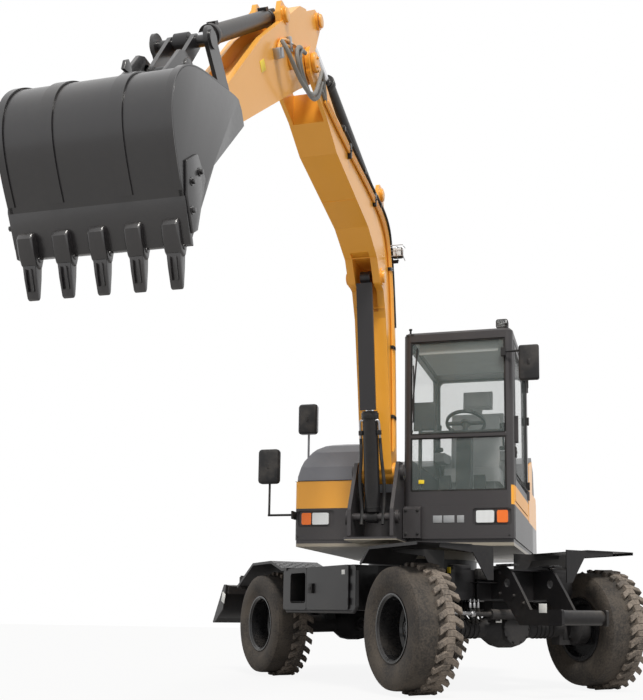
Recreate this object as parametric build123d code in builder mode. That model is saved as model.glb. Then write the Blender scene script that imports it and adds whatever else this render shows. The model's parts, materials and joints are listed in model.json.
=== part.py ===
from build123d import *
import os
from math import atan2, cos, degrees, hypot, radians, sin

# Wheeled excavator, all sizes in millimetres.
# Row axes: +Z up, -Y the way the upper structure faces, +X the cab side.
# The undercarriage is turned under it, as the upper structure had swung round.

# Where the swing axis stands in the file, and how far the undercarriage is turned.
swingX = 301.0
swingY = 1804.0
chassisYaw = 43.45

# Undercarriage
wheelbase = 2628.0
track = 1911.0
midOffset = 55.0
tyreRadius = 530.0
tyreWidth = 340.0
treadWidth = 300.0
lugHeight = 32.0
lugCount = 26
lugThickness = 46.0
rimLipRadius = 278.0
rimSeatRadius = 258.0
rimWidth = 286.0
rimWall = 10.0
discInset = 96.0
steerRest = -4.4
kingpinOut = 660.0
frameHalf = 380.0
frameBottom = 760.0
frameTop = 1010.0
frameFront = -1400.0
frameRear = 1800.0
bellyBottom = 690.0
slewHalf = 560.0
slewOuter = 520.0
slewInner = 330.0
slewSplit = 1145.0
fenderTop = 1200.0
fenderSheet = 6.0
fenderInner = 600.0
fenderOuter = 1122.0
cabinetFace = 1100.0
cabinetInner = 540.0
cabinetFrontGap = 79.0
cabinetRearGap = 63.0
cabinetBottom = 669.0
cabinetTop = 1068.0
cabinetSkin = 12.0
doorInset = 110.0
stepRun = 508.0
guardTube = 16.0

# Front bracket plates with their tie-down holes and the cross tube
bracketOut = 222.0
bracketWall = 25.0
tieHole = (-1612.0, 904.0)
tieRadius = 36.0
towTube = (-2198.0, 630.0)
towTubeRadius = 58.0

# Blade at the rear, in its own plane (along the frame, up)
bladePivot = (1780.0, 640.0)
bladeArmX = 300.0
bladeHalf = 1120.0
bladeCylFoot = (1600.0, 930.0)
bladeCylEye = (2180.0, 760.0)

# Upper structure
upperLeft = 984.0
upperRight = -950.0
upperFront = -1097.0
upperBottom = 1222.0
deckPlate = 60.0
seamZ = 1560.0
bandTop = 1804.0
hoodTop = 2180.0
hoodRear = 540.0
tailRadius = 1820.0
tailFront = 1000.0
weightTop = 1900.0
roofTop = 3106.0
cabRight = 34.0
cabRear = 520.0
cabWall = 45.0
glassWall = 6.0
sillZ = 1690.0
barZ = 2172.0
windowTop = 3020.0
doorFrontY = -1010.0
doorRearY = 330.0
doorBottom = 1600.0

# Work equipment, in the plane of the boom
boomX = -150.0
plateX = 180.0
plateWall = 30.0
boomHalf = 135.0
armHalf = 100.0
boomFoot = (-1250.0, 1840.0)
boomCylFoot = (-1456.0, 1441.0)
boomCylEye = (-1772.0, 3401.0)
armPivot = (-3790.0, 4130.0)
armCylFoot = (-1640.0, 4170.0)
armCylEye = (-3600.0, 4540.0)
bucketPivot = (-5390.0, 2925.0)
bucketCylFoot = (-4260.0, 4170.0)
rockerPivot = (-5160.0, 3050.0)
rodEye = (-5430.0, 3300.0)
linkEye = (-5600.0, 3060.0)
rockerOut = 145.0
rockerWall = 20.0
bucketWidth = 744.0
bucketWall = 18.0
pinRadius = 32.0
runGap = 0.3

upperBase = Location((swingX, swingY, 0))
chassisBase = Location((swingX, swingY, 0), (0, 0, chassisYaw))


def level(base, z, x=0, y=0):
    return Plane(base * Plane(origin=(x, y, z), x_dir=(1, 0, 0), z_dir=(0, 0, 1)).location)


def lengthwise(base, x, y=0, z=0):
    return Plane(base * Plane(origin=(x, y, z), x_dir=(0, 1, 0), z_dir=(1, 0, 0)).location)


def across(base, y, x=0, z=0):
    return Plane(base * Plane(origin=(x, y, z), x_dir=(1, 0, 0), z_dir=(0, -1, 0)).location)


def save(piece, name):
    piece.part.label = name
    export_step(piece.part, "parts/" + name + ".step")


def slab(base, x, thickness, outline, radius=0, mode=Mode.ADD):
    # a plate across the machine, centred on x, its outline given as (along, up)
    with BuildSketch(lengthwise(base, x - thickness / 2)) as plate:
        Polygon(*outline, align=None)
        if radius:
            fillet(plate.vertices(), radius)
    extrude(plate.sketch, amount=thickness, mode=mode)


def sheet(points, thickness):
    # closed outline of a bent sheet that lies on the right of the given line
    lines = []
    for a, b in zip(points, points[1:]):
        run = hypot(b[0] - a[0], b[1] - a[1])
        lines.append(((b[0] - a[0]) / run, (b[1] - a[1]) / run))
    inner = []
    for i, p in enumerate(points):
        u = lines[max(i - 1, 0)]
        v = lines[min(i, len(lines) - 1)]
        share = thickness / (1 + u[0] * v[0] + u[1] * v[1])
        inner.append((p[0] + (u[1] + v[1]) * share, p[1] - (u[0] + v[0]) * share))
    return list(points) + inner[::-1]


def pin(base, x, length, at, radius, mode=Mode.ADD):
    # a round bar across the machine, centred on x
    with BuildSketch(lengthwise(base, x - length / 2)) as end:
        with Locations(at):
            Circle(radius)
    extrude(end.sketch, amount=length, mode=mode)


os.makedirs("parts", exist_ok=True)

frontAxleY = -(wheelbase / 2 - midOffset)
rearAxleY = wheelbase / 2 + midOffset
cabinetFront = frontAxleY + tyreRadius + cabinetFrontGap
cabinetRear = rearAxleY - tyreRadius - cabinetRearGap
doorFront = cabinetFront + doorInset
doorRear = cabinetRear - stepRun

# Undercarriage frame with the transfer box and the lower slewing ring
with BuildPart() as chassisFrame:
    with BuildSketch(level(chassisBase, frameBottom)):
        with Locations((0, (frameFront + frameRear) / 2)):
            Rectangle(2 * frameHalf, frameRear - frameFront)
    extrude(amount=frameTop - frameBottom)
    with BuildSketch(level(chassisBase, bellyBottom)):
        RectangleRounded(2 * cabinetInner, 2 * slewHalf, 30)
    extrude(amount=frameTop - bellyBottom)
    with BuildSketch(level(chassisBase, frameTop)):
        Circle(slewOuter)
        Circle(slewInner, mode=Mode.SUBTRACT)
    extrude(amount=slewSplit - frameTop - runGap)
    with BuildSketch(lengthwise(chassisBase, -170)):
        with Locations((330, (bellyBottom + 430) / 2)):
            RectangleRounded(420, bellyBottom - 430 + 20, 40)
    extrude(amount=340)
    with BuildSketch(level(chassisBase, frameBottom)):
        with Locations((0, frameRear - 130)):
            Rectangle(124, 300)
    extrude(amount=frameTop - frameBottom, mode=Mode.SUBTRACT)
    with BuildSketch(level(chassisBase, frameBottom + 2)):
        for side in (-1, 1):
            with Locations((side * (frameHalf + 130), frameFront + 58)):
                RectangleRounded(270, 116, 50)
    extrude(amount=frameTop - frameBottom - 4)
    with BuildSketch(level(chassisBase, frameTop)):
        with Locations((0, frameFront - 20)):
            Rectangle(2 * bracketOut + 170, 160)
    extrude(amount=14)
    for side in (-1, 1):
        frontOutline = (
            (frameFront + 80, frameTop + 36),
            (-1560, frameTop + 36),
            (-1668, 990),
            (-1800, 820),
            (-1895, 690),
            (towTube[0] - 66, 691),
            (towTube[0] - 66, 568),
            (-1760, 568),
            (-1650, 690),
            (-1557, frameBottom + 14),
            (frameFront + 80, frameBottom + 14),
        )
        slab(chassisBase, side * bracketOut, bracketWall, frontOutline, 16)
        with BuildSketch(level(chassisBase, frameTop + 30)):
            with Locations((side * bracketOut, -1600)):
                RectangleRounded(130, 150, 12)
        extrude(amount=14)
        pin(chassisBase, side * bracketOut, bracketWall + 20, tieHole, tieRadius, Mode.SUBTRACT)
    pin(chassisBase, 0, 2 * bracketOut, towTube, towTubeRadius)
    for x in (-bladeArmX - 44, -bladeArmX + 44, bladeArmX - 44, bladeArmX + 44):
        earOutline = (
            (1560, frameBottom + 30),
            (1700, 610),
            (bladePivot[0] - 10, bladePivot[1] - 62),
            (bladePivot[0] + 62, bladePivot[1] - 20),
            (bladePivot[0] + 56, bladePivot[1] + 50),
            (frameRear - 10, frameBottom + 30),
        )
        slab(chassisBase, x, 24, earOutline, 20)
    for side in (-1, 1):
        pin(chassisBase, side * bladeArmX, 112, bladePivot, 30)
    pin(chassisBase, 0, 140, bladeCylFoot, 24)
save(chassisFrame, "chassis_frame")

# Both axles: a turned housing, the differential across it and what holds it to the frame
yokeIn = kingpinOut - 60
yokeHigh = tyreRadius + 95
yokeLow = tyreRadius - 135
with BuildPart() as frontAxle:
    with BuildSketch(across(chassisBase, frontAxleY)):
        Polygon(
            (-yokeIn, tyreRadius),
            (-yokeIn, tyreRadius + 74),
            (-yokeIn + 60, tyreRadius + 70),
            (-230, tyreRadius + 78),
            (-130, tyreRadius + 140),
            (-60, tyreRadius + 158),
            (60, tyreRadius + 158),
            (130, tyreRadius + 140),
            (230, tyreRadius + 78),
            (yokeIn - 60, tyreRadius + 70),
            (yokeIn, tyreRadius + 74),
            (yokeIn, tyreRadius),
            align=None,
        )
    axleMiddle = Plane(chassisBase * Location((0, frontAxleY, tyreRadius))).origin
    axleLine = Axis(axleMiddle, level(chassisBase, 0).x_dir)
    revolve(axis=axleLine)
    with BuildSketch(across(chassisBase, frontAxleY + 260)):
        with Locations((0, tyreRadius)):
            Circle(70)
    extrude(amount=200)
    with BuildSketch(across(chassisBase, frontAxleY - 120)):
        with Locations((0, tyreRadius)):
            Circle(128)
    extrude(amount=52)
    for side in (-1, 1):
        for z in (yokeLow, yokeHigh):
            with BuildSketch(level(chassisBase, z)):
                with Locations((side * (kingpinOut - 26), frontAxleY)):
                    RectangleRounded(150, 104, 40)
            extrude(amount=40)
        with BuildSketch(level(chassisBase, yokeLow)):
            with Locations((side * (yokeIn - 20), frontAxleY)):
                Rectangle(40, 104)
        extrude(amount=yokeHigh + 40 - yokeLow)
    with BuildSketch(level(chassisBase, tyreRadius + 60)):
        with Locations((0, frontAxleY)):
            Rectangle(320, 120)
    extrude(amount=frameBottom - tyreRadius - 60)
    pin(chassisBase, 0, 560, (frontAxleY - 186, tyreRadius + 120), 42)
    pin(chassisBase, 0, 900, (frontAxleY - 186, tyreRadius + 120), 20)
    with BuildSketch(across(chassisBase, frontAxleY - 60)):
        with Locations((-190, tyreRadius + 110), (190, tyreRadius + 110)):
            Rectangle(50, 90)
    extrude(amount=110)
    with BuildSketch(across(chassisBase, 330 - 210 - runGap)):
        with Locations((0, tyreRadius)):
            Circle(38)
    extrude(amount=330 - 210 - runGap - frontAxleY - 240)
save(frontAxle, "front_axle")

with BuildPart() as rearAxle:
    hubEnd = track / 2 - discInset - runGap
    with BuildSketch(across(chassisBase, rearAxleY)):
        Polygon(
            (-hubEnd, tyreRadius),
            (-hubEnd, tyreRadius + 128),
            (-hubEnd + 70, tyreRadius + 136),
            (-hubEnd + 90, tyreRadius + 96),
            (-230, tyreRadius + 84),
            (-140, tyreRadius + 150),
            (-60, tyreRadius + 166),
            (60, tyreRadius + 166),
            (140, tyreRadius + 150),
            (230, tyreRadius + 84),
            (hubEnd - 90, tyreRadius + 96),
            (hubEnd - 70, tyreRadius + 136),
            (hubEnd, tyreRadius + 128),
            (hubEnd, tyreRadius),
            align=None,
        )
    axleMiddle = Plane(chassisBase * Location((0, rearAxleY, tyreRadius))).origin
    axleLine = Axis(axleMiddle, level(chassisBase, 0).x_dir)
    revolve(axis=axleLine)
    with BuildSketch(across(chassisBase, rearAxleY + 190)):
        with Locations((0, tyreRadius)):
            Circle(132)
    extrude(amount=60)
    for side in (-1, 1):
        with BuildSketch(level(chassisBase, tyreRadius + 40)):
            with Locations((side * 310, rearAxleY)):
                Rectangle(110, 170)
        extrude(amount=frameBottom - tyreRadius - 40)
    with BuildSketch(across(chassisBase, rearAxleY - 100)):
        with Locations((0, tyreRadius)):
            Circle(70)
    extrude(amount=100)
    with BuildSketch(across(chassisBase, rearAxleY - 190)):
        with Locations((0, tyreRadius)):
            Circle(38)
    extrude(amount=rearAxleY - 190 - 540 - runGap)
save(rearAxle, "rear_axle")

# One steering knuckle each side, with its steering arm and hub carrier
steerArmOut = 14.0
kingpinLow = yokeLow + 40 + runGap
kingpinHigh = yokeHigh - runGap
hubReach = track / 2 - kingpinOut - discInset - runGap
for side, name in ((-1, "knuckle_right"), (1, "knuckle_left")):
    knuckleBase = chassisBase * Location((side * kingpinOut, frontAxleY, 0), (0, 0, steerRest))
    with BuildPart() as knuckle:
        with BuildSketch(level(knuckleBase, kingpinLow)):
            Circle(40)
        extrude(amount=kingpinHigh - kingpinLow)
        with BuildSketch(across(knuckleBase, 0)):
            Polygon(
                (side * 10, tyreRadius),
                (side * 10, tyreRadius + 84),
                (side * 60, tyreRadius + 92),
                (side * 90, tyreRadius + 138),
                (side * (hubReach - 6), tyreRadius + 132),
                (side * hubReach, tyreRadius + 120),
                (side * hubReach, tyreRadius),
                align=None,
            )
        hubLine = Axis(level(knuckleBase, tyreRadius).origin, level(knuckleBase, 0).x_dir)
        revolve(axis=hubLine)
        with BuildSketch(level(knuckleBase, tyreRadius + 30)):
            with Locations((side * steerArmOut, -95)):
                RectangleRounded(42, 230, 18)
        extrude(amount=32)
        with BuildSketch(level(knuckleBase, tyreRadius + 62)):
            with Locations((side * steerArmOut, -186)):
                Circle(22)
        extrude(amount=60)
    save(knuckle, name)

# Tyre: a turned carcass with V-shaped lugs all round
pitch = 360 / lugCount
treadRadius = tyreRadius - lugHeight
lugTop = tyreRadius - 4
lugReach = treadWidth / 2 - 2
lugSweep = 38.0
with BuildPart() as tyreMaster:
    with BuildSketch(Plane.XZ):
        Polygon(
            (-rimWidth / 2 + 10, rimSeatRadius + 0.4),
            (-rimWidth / 2 + 10, rimLipRadius + 4),
            (-tyreWidth / 2, rimLipRadius + 110),
            (-treadWidth / 2, treadRadius),
            (treadWidth / 2, treadRadius),
            (tyreWidth / 2, rimLipRadius + 110),
            (rimWidth / 2 - 10, rimLipRadius + 4),
            (rimWidth / 2 - 10, rimSeatRadius + 0.4),
            align=None,
        )
    revolve(axis=Axis.X)
    with BuildSketch(Plane.XY.offset(treadRadius - 30)) as chevron:
        Polygon(
            (0, -lugSweep - lugThickness / 2),
            (lugReach, lugSweep - lugThickness / 2),
            (lugReach, lugSweep + lugThickness / 2),
            (0, -lugSweep + lugThickness / 2),
            (-lugReach, lugSweep + lugThickness / 2),
            (-lugReach, lugSweep - lugThickness / 2),
            align=None,
        )
    lug = extrude(chevron.sketch, amount=lugTop - treadRadius + 30, mode=Mode.PRIVATE)
    for i in range(lugCount):
        add(lug.rotate(Axis.X, i * pitch))
tyreMaster.part.label = "tyre"

wheelRows = (
    ("front_right", -1, frontAxleY, steerRest),
    ("front_left", 1, frontAxleY, steerRest),
    ("rear_right", -1, rearAxleY, 0),
    ("rear_left", 1, rearAxleY, 0),
)
for name, side, axleY, turn in wheelRows:
    kingpinAt = Location((side * kingpinOut, axleY, tyreRadius), (0, 0, turn))
    wheelAt = chassisBase * kingpinAt * Location((side * (track / 2 - kingpinOut), 0, 0))
    with BuildPart() as tyre:
        with Locations(wheelAt):
            add(tyreMaster.part)
    save(tyre, "tyre_" + name)
    with BuildPart() as rimMaster:
        with BuildSketch(Plane.XZ):
            Polygon(
                (-side * rimWidth / 2, rimLipRadius),
                (-side * rimWidth / 2, rimSeatRadius - rimWall),
                (-side * discInset, rimSeatRadius - rimWall - 22),
                (-side * discInset, 0),
                (side * 8, 0),
                (side * 8, 52),
                (-side * 8, 92),
                (-side * (discInset - 14), 112),
                (-side * (discInset - 14), rimSeatRadius - rimWall - 30),
                (-side * (discInset - 40), rimSeatRadius - rimWall - 12),
                (side * (rimWidth / 2 - 20), rimSeatRadius - rimWall),
                (side * rimWidth / 2, rimLipRadius - 12),
                (side * rimWidth / 2, rimLipRadius),
                (side * (rimWidth / 2 - 7), rimLipRadius),
                (side * (rimWidth / 2 - 7), rimSeatRadius),
                (-side * (rimWidth / 2 - 7), rimSeatRadius),
                (-side * (rimWidth / 2 - 7), rimLipRadius),
                align=None,
            )
        revolve(axis=Axis.X)
    with BuildPart() as rim:
        with Locations(wheelAt):
            add(rimMaster.part)
    save(rim, "rim_" + name)

# Fenders: bent sheet with a turned-down outer edge, and the arms that carry them
frontFender = ((frontAxleY - 383, fenderTop), (frontAxleY + 354, fenderTop), (frontAxleY + 507, 1066))
fenderSeat = cabinetTop + fenderSheet + 0.4
rearFender = (
    (cabinetRear - 80, fenderSeat),
    (cabinetRear + 26, fenderSeat),
    (rearAxleY - 303, 1158),
    (rearAxleY + 154, 1152),
    (rearAxleY + 576, 921),
)
with BuildPart() as fenders:
    for side in (-1, 1):
        middle = side * (fenderInner + fenderOuter) / 2
        for bend in (frontFender, rearFender):
            slab(chassisBase, middle, fenderOuter - fenderInner, sheet(bend, fenderSheet))
            slab(chassisBase, side * (fenderOuter - fenderSheet / 2), fenderSheet, sheet(bend, 26))
        for y in (frontAxleY - 363, frontAxleY + 334):
            low = frameTop - 90
            high = fenderTop - 5
            with BuildSketch(across(chassisBase, y + 5)):
                Polygon(
                    (side * (frameHalf + 0.3), low),
                    (side * (frameHalf + 0.3), high),
                    (side * (fenderInner + 300), high),
                    (side * (fenderInner + 300), high - 30),
                    (side * (fenderInner - 20), high - 60),
                    (side * (frameHalf + 60), low),
                    align=None,
                )
            extrude(amount=10)
save(fenders, "fenders")

# Cabinets between the wheels, with the bent tube that guards their edge
doorSpan = doorRear - doorFront
with BuildPart() as cabinets:
    for side in (-1, 1):
        middle = side * (cabinetInner + cabinetFace) / 2
        boxOutline = (
            (cabinetFront, cabinetBottom),
            (cabinetFront, cabinetTop - 8),
            (cabinetRear, cabinetTop),
            (cabinetRear, cabinetBottom),
        )
        slab(chassisBase, middle, cabinetFace - cabinetInner - 0.6, boxOutline, 40)
        with BuildSketch(level(chassisBase, cabinetBottom - 10)):
            Polygon(
                (side * (cabinetFace + 5), cabinetFront - 1),
                (side * 820, cabinetFront + 95),
                (side * (cabinetInner - 5), cabinetFront + 95),
                (side * (cabinetInner - 5), cabinetFront - 20),
                (side * (cabinetFace + 5), cabinetFront - 20),
                align=None,
            )
        extrude(amount=cabinetTop - cabinetBottom + 20, mode=Mode.SUBTRACT)
        skinMiddle = side * (cabinetFace + cabinetSkin / 2)
        if side == -1:
            with BuildSketch(lengthwise(chassisBase, skinMiddle - cabinetSkin / 2)):
                with Locations(((doorRear + 6 + cabinetRear) / 2, (cabinetBottom + cabinetTop) / 2)):
                    RectangleRounded(cabinetRear - doorRear - 6, cabinetTop - cabinetBottom - 10, 24)
            extrude(amount=cabinetSkin)
            with BuildSketch(lengthwise(chassisBase, -cabinetFace - 20)):
                with Locations((doorRear + 187, 875)):
                    RectangleRounded(326, 283, 34)
            extrude(amount=220, mode=Mode.SUBTRACT)
            with BuildSketch(lengthwise(chassisBase, -cabinetFace - 20)):
                with Locations(((doorFront + doorRear) / 2, (cabinetBottom + cabinetTop) / 2)):
                    RectangleRounded(doorSpan - 30, cabinetTop - cabinetBottom - 60, 20)
            extrude(amount=420, mode=Mode.SUBTRACT)
        else:
            with BuildSketch(lengthwise(chassisBase, skinMiddle - cabinetSkin / 2)):
                with Locations(((cabinetFront + cabinetRear) / 2 + 12, (cabinetBottom + cabinetTop) / 2)):
                    RectangleRounded(cabinetRear - cabinetFront - 70, cabinetTop - cabinetBottom - 10, 24)
            extrude(amount=cabinetSkin)
            for z in (765, 955):
                with BuildSketch(lengthwise(chassisBase, cabinetFace - 200)):
                    with Locations(((cabinetFront + cabinetRear) / 2 - 103, z)):
                        RectangleRounded(460, 130, 24)
                extrude(amount=240, mode=Mode.SUBTRACT)
        inset = guardTube - 4
        tubePath = (
            (cabinetRear + inset, cabinetTop - 60),
            (cabinetRear + inset, cabinetBottom + 40),
            (cabinetRear - 44, cabinetBottom - inset),
            (cabinetFront + 44, cabinetBottom - inset),
            (cabinetFront - inset, cabinetBottom + 40),
            (cabinetFront - inset, cabinetTop - 60),
        )
        with BuildLine(lengthwise(chassisBase, side * (cabinetFace - guardTube))) as rail:
            Polyline(*tubePath)
        with BuildSketch(Plane(origin=rail.line @ 0, z_dir=rail.line % 0)):
            RegularPolygon(guardTube, 8)
        sweep(path=rail.line, transition=Transition.RIGHT)
save(cabinets, "cabinets")

# The tool cabinet's door hangs on its front edge
hingeX = -(cabinetFace + cabinetSkin + 4)
hingeY = doorFront - 8
with BuildPart() as cabinetDoor:
    with BuildSketch(lengthwise(chassisBase, -cabinetFace - cabinetSkin - 0.4)):
        with Locations(((doorFront + doorRear) / 2, (cabinetBottom + cabinetTop) / 2)):
            RectangleRounded(doorSpan, cabinetTop - cabinetBottom - 12, 24)
    extrude(amount=cabinetSkin)
    with BuildSketch(lengthwise(chassisBase, -cabinetFace - cabinetSkin - 12)):
        with Locations((doorRear - 100, 868)):
            RectangleRounded(104, 92, 8)
    extrude(amount=20)
    for z in (745, 870, 995):
        with BuildSketch(level(chassisBase, z - 30)):
            with Locations((hingeX, hingeY)):
                Circle(7)
            with Locations((hingeX, hingeY + 12)):
                Rectangle(6, 26)
        extrude(amount=60)
save(cabinetDoor, "cabinet_door")

# Dozer blade: curved plate, cutting edge, end plates, arms and the cylinder's ears
bladeTop = (2300, 940)
bladeMid = (2403, 717)
bladeFoot = (2600, 570)
bladeWall = 14
with BuildPart() as blade:
    with BuildSketch(lengthwise(chassisBase, -bladeHalf)):
        with BuildLine():
            ThreePointArc(bladeTop, bladeMid, bladeFoot)
            Line(bladeFoot, (bladeFoot[0] - 8, bladeFoot[1] - bladeWall))
            ThreePointArc(
                (bladeFoot[0] - 8, bladeFoot[1] - bladeWall),
                (bladeMid[0] - 10, bladeMid[1] - 11),
                (bladeTop[0] - bladeWall, bladeTop[1]),
            )
            Line((bladeTop[0] - bladeWall, bladeTop[1]), bladeTop)
        make_face()
    extrude(amount=2 * bladeHalf)
    edgeOutline = (
        (bladeFoot[0] + 40, bladeFoot[1] - 34),
        (bladeFoot[0] - 92, bladeFoot[1] + 66),
        (bladeFoot[0] - 104, bladeFoot[1] + 50),
        (bladeFoot[0] + 28, bladeFoot[1] - 50),
    )
    slab(chassisBase, 0, 2 * bladeHalf, edgeOutline)
    channelOutline = (
        (bladeTop[0] - 2, bladeTop[1]),
        (bladeTop[0] - 74, bladeTop[1] - 12),
        (bladeTop[0] - 62, bladeTop[1] - 100),
        (bladeTop[0] + 34, bladeTop[1] - 92),
    )
    slab(chassisBase, 0, 2 * bladeHalf - 40, channelOutline)
    for side in (-1, 1):
        endOutline = (
            (bladeTop[0] - 30, bladeTop[1] + 4),
            (bladeTop[0] + 30, bladeTop[1] + 4),
            (bladeFoot[0] + 24, bladeFoot[1] - 16),
            (bladeFoot[0] - 24, bladeFoot[1] - 44),
            (bladeMid[0] - 60, bladeMid[1] - 40),
            (bladeMid[0] - 100, bladeMid[1] + 60),
        )
        slab(chassisBase, side * (bladeHalf - 8), 16, endOutline, 8)
        armOutline = (
            (bladePivot[0] - 46, bladePivot[1] + 20),
            (bladePivot[0] - 30, bladePivot[1] + 46),
            (2140, 745),
            (bladeMid[0] - 6, bladeMid[1] + 45),
            (bladeMid[0] + 26, bladeMid[1] - 50),
            (2150, 625),
            (bladePivot[0] + 10, bladePivot[1] - 46),
            (bladePivot[0] - 42, bladePivot[1] - 22),
        )
        slab(chassisBase, side * bladeArmX, 60, armOutline, 12)
        pin(chassisBase, side * bladeArmX, 60, bladePivot, 30 + runGap, Mode.SUBTRACT)
    pin(chassisBase, 0, 2 * bladeArmX, (2270, 690), 62)
    for side in (-1, 1):
        earOutline = (
            (bladeCylEye[0] - 36, bladeCylEye[1] + 6),
            (bladeCylEye[0], bladeCylEye[1] + 40),
            (2330, 800),
            (2330, 660),
            (2210, 660),
        )
        slab(chassisBase, side * 44, 20, earOutline, 10)
save(blade, "blade")


def cylinderBase(base, x, foot, eye):
    tilt = degrees(atan2(eye[1] - foot[1], eye[0] - foot[0]))
    return base * Location((x, foot[0], foot[1])) * Location((0, 0, 0), (tilt, 0, 0))


def alongCylinder(base, y):
    return Plane(base * Plane(origin=(0, y, 0), x_dir=(1, 0, 0), z_dir=(0, 1, 0)).location)


# Cylinders: barrel with gland and ports, chromed rod with its eye.
# Each row: name, base, plane, foot, eye, barrel, rod, barrel length, rod drawn in by, pin, eye width
cylinderRows = (
    ("blade_cylinder", chassisBase, 0, bladeCylFoot, bladeCylEye, 40, 22, 400, 30, 24, 52),
    ("boom_cylinder", upperBase, boomX, boomCylFoot, boomCylEye, 64, 36, 880, 515, 32, 84),
    ("arm_cylinder", upperBase, boomX, armCylFoot, armCylEye, 54, 30, 1440, 275, 30, 124),
    ("bucket_cylinder", upperBase, boomX, bucketCylFoot, rodEye, 48, 27, 1110, 50, 28, 70),
)
for name, base, x, foot, eye, barrelR, rodR, barrelEnd, drawIn, pinR, eyeWidth in cylinderRows:
    span = hypot(eye[0] - foot[0], eye[1] - foot[1])
    cylBase = cylinderBase(base, x, foot, eye)
    eyeR = pinR + 20
    with BuildPart() as barrel:
        with BuildSketch(alongCylinder(cylBase, eyeR - 6)):
            Circle(barrelR)
        extrude(amount=barrelEnd - eyeR + 6)
        with BuildSketch(alongCylinder(cylBase, barrelEnd - 62)):
            Circle(barrelR + 7)
        extrude(amount=46)
        pin(cylBase, 0, eyeWidth, (0, 0), eyeR)
        with BuildSketch(alongCylinder(cylBase, eyeR + 24)):
            with Locations((0, barrelR)):
                Rectangle(52, 30)
            with Locations((0, barrelR - 2)):
                Rectangle(52, 30)
        extrude(amount=52)
        with BuildSketch(alongCylinder(cylBase, barrelEnd - 130)):
            with Locations((0, barrelR)):
                Rectangle(46, 26)
        extrude(amount=50)
        with BuildSketch(alongCylinder(cylBase, eyeR + 30)):
            Circle(rodR + 0.1)
        extrude(amount=barrelEnd, mode=Mode.SUBTRACT)
        pin(cylBase, 0, eyeWidth + 2, (0, 0), pinR + runGap, Mode.SUBTRACT)
    save(barrel, name + "_barrel")
    with BuildPart() as rod:
        with BuildSketch(alongCylinder(cylBase, eyeR + 40 + drawIn)):
            Circle(rodR)
        extrude(amount=span - 2 * eyeR - drawIn - 34)
        pin(cylBase, 0, eyeWidth, (span, 0), eyeR)
        if name == "boom_cylinder":
            # shallow channel in front of the rod
            with BuildSketch(alongCylinder(cylBase, barrelEnd + 6)):
                with Locations((0, -barrelR - 14)):
                    Rectangle(132, 8)
                for side in (-1, 1):
                    with Locations((side * 62, -barrelR - 2)):
                        Rectangle(8, 30)
            extrude(amount=span - barrelEnd - 60)
            with BuildSketch(alongCylinder(cylBase, span - 110)):
                with Locations((0, -barrelR / 2 - 8)):
                    Rectangle(60, barrelR + 8)
            extrude(amount=40)
    save(rod, name + "_rod")

# Deck of the upper structure with the boom foot bracket and the upper slewing ring
bracketIn = plateX + plateWall / 2
with BuildPart() as deck:
    with BuildSketch(level(upperBase, upperBottom)):
        Polygon(
            (upperRight + 10, upperFront + 20),
            (upperRight + 50, upperFront - 16 + 20),
            (upperLeft - 10, upperFront + 20),
            (upperLeft - 10, tailFront),
            (upperRight + 10, tailFront),
            align=None,
        )
    extrude(amount=deckPlate)
    with BuildSketch(level(upperBase, slewSplit)):
        Circle(slewOuter - 16)
        Circle(slewInner, mode=Mode.SUBTRACT)
    extrude(amount=upperBottom - slewSplit)
    for side in (-1, 1):
        footOutline = (
            (-700, upperBottom + deckPlate),
            (-1560, upperBottom + 32),
            (-1560, 1500),
            (-1400, 1790),
            (-1330, 1925),
            (-1180, 1935),
            (upperFront - 14, 1850),
            (upperFront - 14, seamZ - 20),
            (-700, seamZ - 20),
        )
        slab(upperBase, boomX + side * plateX, plateWall, footOutline, 30)
        pin(upperBase, boomX + side * (plateX + 14), plateWall + 28, boomFoot, 66)
        pin(upperBase, boomX + side * (plateX + 14), plateWall + 28, boomCylFoot, 58)
    with BuildSketch(level(upperBase, upperBottom + 20)):
        with Locations((boomX, -1330)):
            RectangleRounded(2 * bracketIn + 60, 480, 30)
    extrude(amount=25)
    with BuildSketch(lengthwise(upperBase, boomX - plateX)):
        Polygon((-1000, 1282), (-1080, 1282), (-1010, 1700), (-940, 1700), align=None)
    extrude(amount=2 * plateX)
    pin(upperBase, boomX, 2 * bracketIn + 70, boomFoot, 38)
    pin(upperBase, boomX, 2 * bracketIn + 70, boomCylFoot, pinRadius)
save(deck, "deck")

# Counterweight with a round tail, rounded above and below
with BuildPart() as counterweight:
    with BuildSketch(level(upperBase, upperBottom)):
        Circle(tailRadius)
        with Locations((0, tailFront - 2500)):
            Rectangle(4000, 5000, mode=Mode.SUBTRACT)
        with Locations((upperLeft + 1000, 0), (upperRight - 1000, 0)):
            Rectangle(2000, 5000, mode=Mode.SUBTRACT)
    extrude(amount=weightTop - upperBottom)
    chamfer(counterweight.faces().sort_by(Axis.Z)[-1].edges().sort_by(Axis.Y)[-1], 60)
    chamfer(counterweight.faces().sort_by(Axis.Z)[0].edges().sort_by(Axis.Y)[-1], 40)
save(counterweight, "counterweight")

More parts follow.
